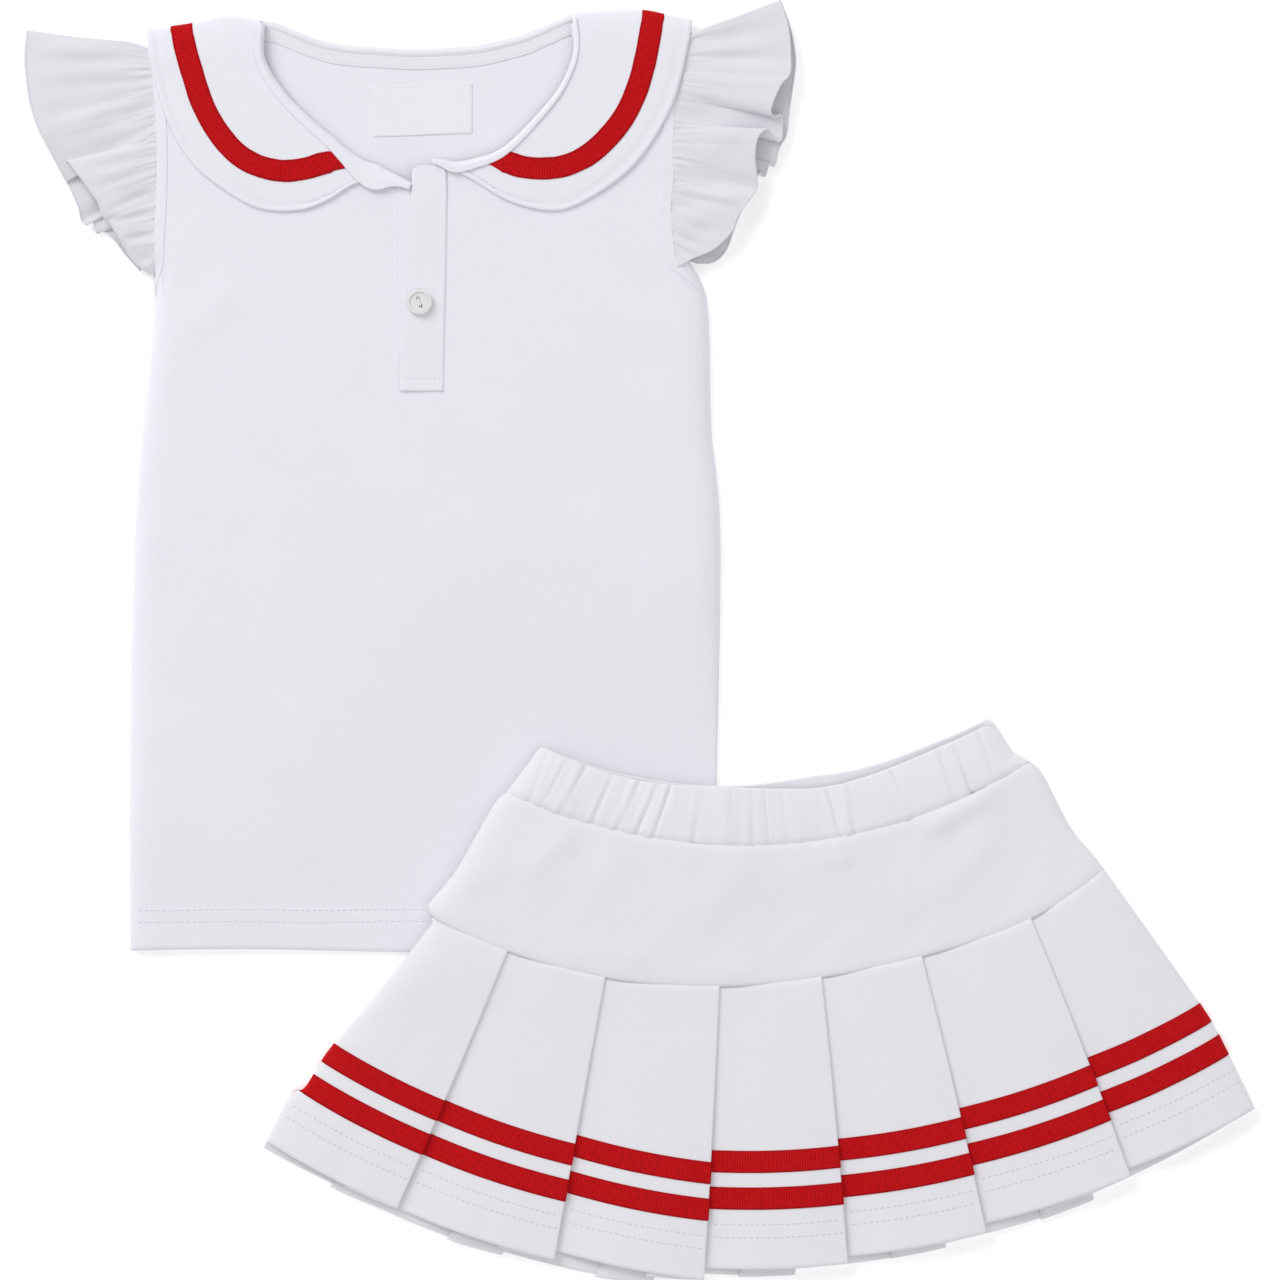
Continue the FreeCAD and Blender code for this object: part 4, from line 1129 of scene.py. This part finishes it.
def pleat_grid(index, front, rows, up_from_hem=None):
    """One pleat, whole or between two distances up from its hem."""
    creases = CREASES if front else BACK_CREASES
    hem_left, hem_right = (PLEAT_HEMS if front else BACK_HEMS)[index - 1]
    profile = pleat_profile(index)
    grid = np.zeros((rows, len(profile), 3))
    t = np.linspace(0, 1, rows)
    low = 0.0 if index > 1 else 0.6
    climb_end = 0.62 if index < PLEATS else 0.4
    for j, (part, s) in enumerate(profile):
        across = {"hidden": 0.0, "face": s, "fold": 1.0, "back": 1.0}[part]
        hem = mix(hem_left, hem_right, across)
        if up_from_hem:
            r = mix(hem - up_from_hem[0], hem - up_from_hem[1], t)
        else:
            middle = mix(*(crease_deg(creases, side, PLEAT_TOP_R) for side in (index - 1, index)), across)
            r = mix(along(YOKE_SEAM, middle) - 0.2, hem, t)
        left, right = crease_deg(creases, index - 1, r), crease_deg(creases, index, r)
        opened = ramp(r, PLEAT_TOP_R, PLEAT_HEM_R)
        depth = PLEAT_DEPTH_DEG * mix(PLEAT_DEPTH_TOP, 1.0, opened)
        rise = mix(PLEAT_RISE_TOP, PLEAT_RISE, opened) if front else PLEAT_RISE_TOP + 0 * r
        fold = np.degrees(FOLD_RADIUS / r)
        tip = fold if index < PLEATS else 0 * r
        if part == "hidden":
            deg, z = left - depth * (1 - s), 0 * r
        elif part == "face":
            deg = mix(left, right - tip, s)
            z = mix(low * rise, rise, ramp(s, 0.04, climb_end))
            bow = math.sin(math.pi * s)
            dent = (s - 0.55) * 8
            z = z + (0.9 * bow - 0.7 * math.exp(-dent * dent)) * opened * front
            z = z + 0.55 * opened * ripples(deg * 2.4, r * 0.45, 24, 50 + index) * bow * front
        elif part == "fold":
            deg = right - tip + fold * math.sin(s * math.pi)
            z = rise - FOLD_RADIUS * (1 - math.cos(s * math.pi))
        else:
            deg, z = right - tip - (depth - tip) * s, rise - 2 * FOLD_RADIUS
        seam_dip = 0.5 * (1 - ramp(r - r[0], 0, 2.4)) * (not up_from_hem)
        height = skirt_front(r, deg, z - seam_dip) if front else skirt_back(r, deg, 1.1 - z)
        grid[:, j] = skirt_point(r, deg, height)[0]
    return grid


def flat_pleat(index, front):
    """Width at the hem, length and area of one pleat's flat cloth."""
    creases = CREASES if front else BACK_CREASES
    folds = (index > 1) + (index < PLEATS)
    widths = []
    for r, share in ((PLEAT_TOP_R, PLEAT_DEPTH_TOP), (PLEAT_HEM_R, 1.0)):
        span = float(crease_deg(creases, index, r) - crease_deg(creases, index - 1, r))
        widths.append((span + folds * PLEAT_DEPTH_DEG * share) * r * math.pi / 180)
    length = PLEAT_HEM_R - PLEAT_TOP_R
    return widths[1], length, (widths[0] + widths[1]) / 2 * length


def side_joint(index):
    """The skirt, the front pleat that a back pleat at a side seam is sewn to, and two places on the table
    at that seam.
    """
    ends = skirt_point(np.full((1, 2), SIDE_JOINT_R), np.array([SIDE_JOINTS[index]]), 0.0)[0] * MM
    return ("skirt", f"pleat_{index}", tuple(ends[0]), tuple(ends[1]))


def pleats(front):
    """All seven pleats of one layer, with their stripes and hem stitches."""
    layer = "front" if front else "back"
    for index in range(1, PLEATS + 1):
        body = f"pleat_{index}" if front else "skirt"
        if not front and index in SIDE_JOINTS:
            body = side_joint(index)
        width, length, area = flat_pleat(index, front)
        lay(f"pleat_{layer}_cloth_{index}", pleat_grid(index, front, 84), PLY, "pleat", body,
            [f"pleat_{layer}_{index}"], (width, length), area, held="folded",
            rests_on=[f"yoke_{layer}_cloth"])
        stripes = []
        for stripe in RIBBONS_UP:
            band = lifted(pleat_grid(index, front, 12, stripe), RIBBON_LIFT if front else -RIBBON_LIFT)
            band = band if front else band[:, :FACE_COLUMNS + HIDDEN_COLUMNS]
            stripes.append(band.transpose(1, 0, 2))
        lay(f"ribbon_{layer}_cloth_{index}", stripes, RIBBON, "ribbon", body, [f"ribbon_{layer}_{index}"],
            (RIBBON_W * 2, width * 0.96), rests_on=[f"pleat_{layer}_cloth_{index}"])
        if front:
            pleat_stitches(index)


def pleat_stitches(index):
    """The twin-needle hem of one front pleat."""
    rows = []
    first = 1 + (HIDDEN_COLUMNS if index > 1 else 0)
    face = slice(first, first + FACE_COLUMNS - 1)
    for rise in PLEAT_STITCHES:
        pair = pleat_grid(index, True, 3, (rise, rise - 1))
        rows.append((lifted(pair, PLY / 2 + 0.03)[0, face], grid_normals(pair)[0, face]))
    sew(f"pleat_{index}", rows, f"pleat_{index}", "pleat_hem", "hem_thread_shaded")


def casing_creases(deg, down, lines):
    """Creases of gathered cloth: angle at the top and at the seam, depth and width in millimetres."""
    z = np.zeros_like(deg)
    for top, low, depth, width in lines:
        off = (deg - mix(top, low, down)) * WAIST_R * math.pi / 180
        z -= depth * np.exp(-(off / width) ** 2) * (0.55 + 0.45 * np.cos(3.0 * down + top))
        z += 0.45 * depth * np.exp(-((off + 1.7 * width) / (1.2 * width)) ** 2)
    return z


def skirt_strip(top, bottom, rows, columns):
    """Radius, angle and share of the way down, over a band of the skirt between two edges."""
    t = dense_ends(rows, 0.02)[:, None]
    s = np.linspace(0, 1, columns)[None, :]
    mean_top, mean_low = (np.mean([p[1] for p in edge]) for edge in (top, bottom))
    r = mix(mean_top, mean_low, t) + 0 * s
    for _ in range(2):
        deg = mix(along(SKIRT_LEFT, r), along(SKIRT_RIGHT, r), s)
        r = mix(along(top, deg), along(bottom, deg), t)
    return r, deg, t + 0 * s


def yokes():
    """The smooth bands between the casing and the pleats."""
    for front in (True, False):
        layer = "front" if front else "back"
        r, deg, t = skirt_strip(WAIST_SEAM, YOKE_SEAM, 60, 170)
        x = deg * r * math.pi / 180
        by_seam = ramp(1 - t, 0, 0.15)
        z = 1.3 + 0.8 * ripples(x, r * 1.4, 52, 62) * ramp(1 - t, 0, 0.2)
        z = z + ridges(x, r - YOKE_TOP_R, YOKE_DRAGS) * front * by_seam
        z = z + 0.35 * ripples(x + r * 0.6, r, 17, 63) * ramp(t, 0, 0.15) * by_seam
        z = z - 0.6 * (np.exp(-((t * YOKE_H) / 1.6) ** 2) + np.exp(-(((1 - t) * YOKE_H) / 1.6) ** 2))
        height = skirt_front(r, deg, z) if front else skirt_back(r, deg, 0.3 + 0 * z)
        grid = skirt_point(r, deg, height)
        lay(f"yoke_{layer}_cloth", grid, KNIT, "pleat", "skirt", [f"yoke_{layer}"], (355, 82), 310 * YOKE_H,
            rests_on=["front_cloth"])


def waistband():
    """The gathered casing, front and back, and the elastic inside the front."""
    for front in (True, False):
        layer = "front" if front else "back"
        r, deg, t = skirt_strip(WAIST_FRONT if front else WAIST_BACK, WAIST_SEAM, 34, 420)
        x = deg * WAIST_R * math.pi / 180
        seed = 73 if front else 83
        z = 1.3 + casing_creases(deg, t, WAIST_CREASES if front else WAIST_CREASES[::2])
        z = z + 0.5 * ripples(x, t * 5, 9, seed) + 0.14 * ripples(x, t * 4, 2.6, seed + 1)
        z = z + 0.8 * np.sin(math.pi * np.clip(t, 0, 1)) ** 0.6 - 0.9 * np.exp(-((1 - t) / 0.06) ** 2)
        tack = 0.45 * np.exp(-((x - WAIST_TACK_X) / 0.9) ** 2)
        if front:
            height = skirt_front(r, deg, z - tack - (1 - t))
        else:
            height = skirt_back(r, deg, 0.4 + 0.3 * z + 1.6 * (1 - t))
        grid = skirt_point(r, deg, height)
        lay(f"waistband_{layer}_cloth", grid[:, ::-1], WAIST_PLY, "pleat", "skirt", ["waistband"],
            (300, 56), 300 * 30, held="gathered", rests_on=[f"yoke_{layer}_cloth"])
        if front:
            inner = skirt_point(r[6:-6], deg[6:-6], height[6:-6])
            lay("elastic_strip", inner[:, 6:-6][:, ::-1], ELASTIC, "elastic", "skirt", ["waist_elastic"],
                (260, 22), held="stretched", rests_on=["waistband_front_cloth"])
            column = int(np.argmin(np.abs(x[0] - WAIST_TACK_X)))
            sew("waist_tack", [upright(grid[2:-2, column] + [0, 0, WAIST_PLY / 2])], "skirt", "tack")


# ---- light, floor and camera

def area_light(name, size, power, at):
    """A square light that aims at the middle of the scene."""
    light = bpy.data.lights.new(name, "AREA")
    light.size = size
    light.energy = power
    obj = bpy.data.objects.new(name, light)
    obj.location = at
    aim = np.negative(at)
    yaw = math.atan2(aim[1], aim[0])
    pitch = math.acos(aim[2] / np.linalg.norm(aim))
    obj.rotation_euler = (0, math.pi - pitch, yaw + math.pi)
    bpy.context.scene.collection.objects.link(obj)


def stage_and_light():
    """White paper under the clothes, two soft lights and a white sky."""
    bpy.ops.mesh.primitive_plane_add(size=8)
    floor = bpy.context.object
    floor.name = "floor"
    floor.location.z = FLOOR_Z
    n = Nodes("floor_paper")
    grain = n.noise(60.0, 3.0)
    floor.data.materials.append(n.finish(n.colour(grain, *FLOOR_COLOURS), grain, 0.02, 0.9))
    n.shader.inputs["Emission Color"].default_value = (1, 1, 1, 1)
    n.shader.inputs["Emission Strength"].default_value = FLOOR_GLOW
    for name, (size, power, at) in LIGHTS.items():
        area_light(name, size, power, at)
    world = bpy.data.worlds.new("studio")
    world.use_nodes = True
    sky = world.node_tree.nodes["Background"]
    sky.inputs["Color"].default_value = (1, 1, 1, 1)
    sky.inputs["Strength"].default_value = SKY
    bpy.context.scene.world = world
    bpy.context.scene.view_settings.view_transform = "Standard"


def camera():
    """Straight down, with a long lens that takes in the whole layout."""
    data = bpy.data.cameras.new("camera")
    data.sensor_width = FILM
    data.lens = FILM * CAMERA_UP / VIEW_ACROSS
    obj = bpy.data.objects.new("camera", data)
    obj.location = (0, 0, CAMERA_UP)
    bpy.context.scene.collection.objects.link(obj)
    bpy.context.scene.camera = obj


# ---- the whole uniform

camera()
stage_and_light()
front_cloth()
back_cloth()
top_hem_stitches()
neck_tape()
neck_band("neck_band_left", BAND_LEFT, -1)
neck_band("neck_band_right", BAND_RIGHT, 1)
collar_half("left", COLLAR_INNER_LEFT, COLLAR_OUTER_LEFT, RIBBON_LEFT)
collar_half("right", COLLAR_INNER_RIGHT, COLLAR_OUTER_RIGHT, RIBBON_RIGHT)
collar_back()
placket()
underlap()
buttonhole()
flat_label("neck_label_cloth", "neck_label", (49, 25))
flat_label("care_label_cloth", "care_label", (33, 20))
armhole_band("left", ARMHOLE_LEFT)
armhole_band("right", ARMHOLE_RIGHT)
sleeve("left", ARMHOLE_LEFT, SLEEVE_LEFT_FRONT, SLEEVE_LEFT_BACK)
sleeve("right", ARMHOLE_RIGHT, SLEEVE_RIGHT_FRONT, SLEEVE_RIGHT_BACK)
yokes()
waistband()
pleats(True)
pleats(False)
for node, look in (("button", "button"), ("button_thread", "thread")):
    materials = frame["nodes"][node].data.materials
    materials.clear()
    materials.append(LOOKS[look])
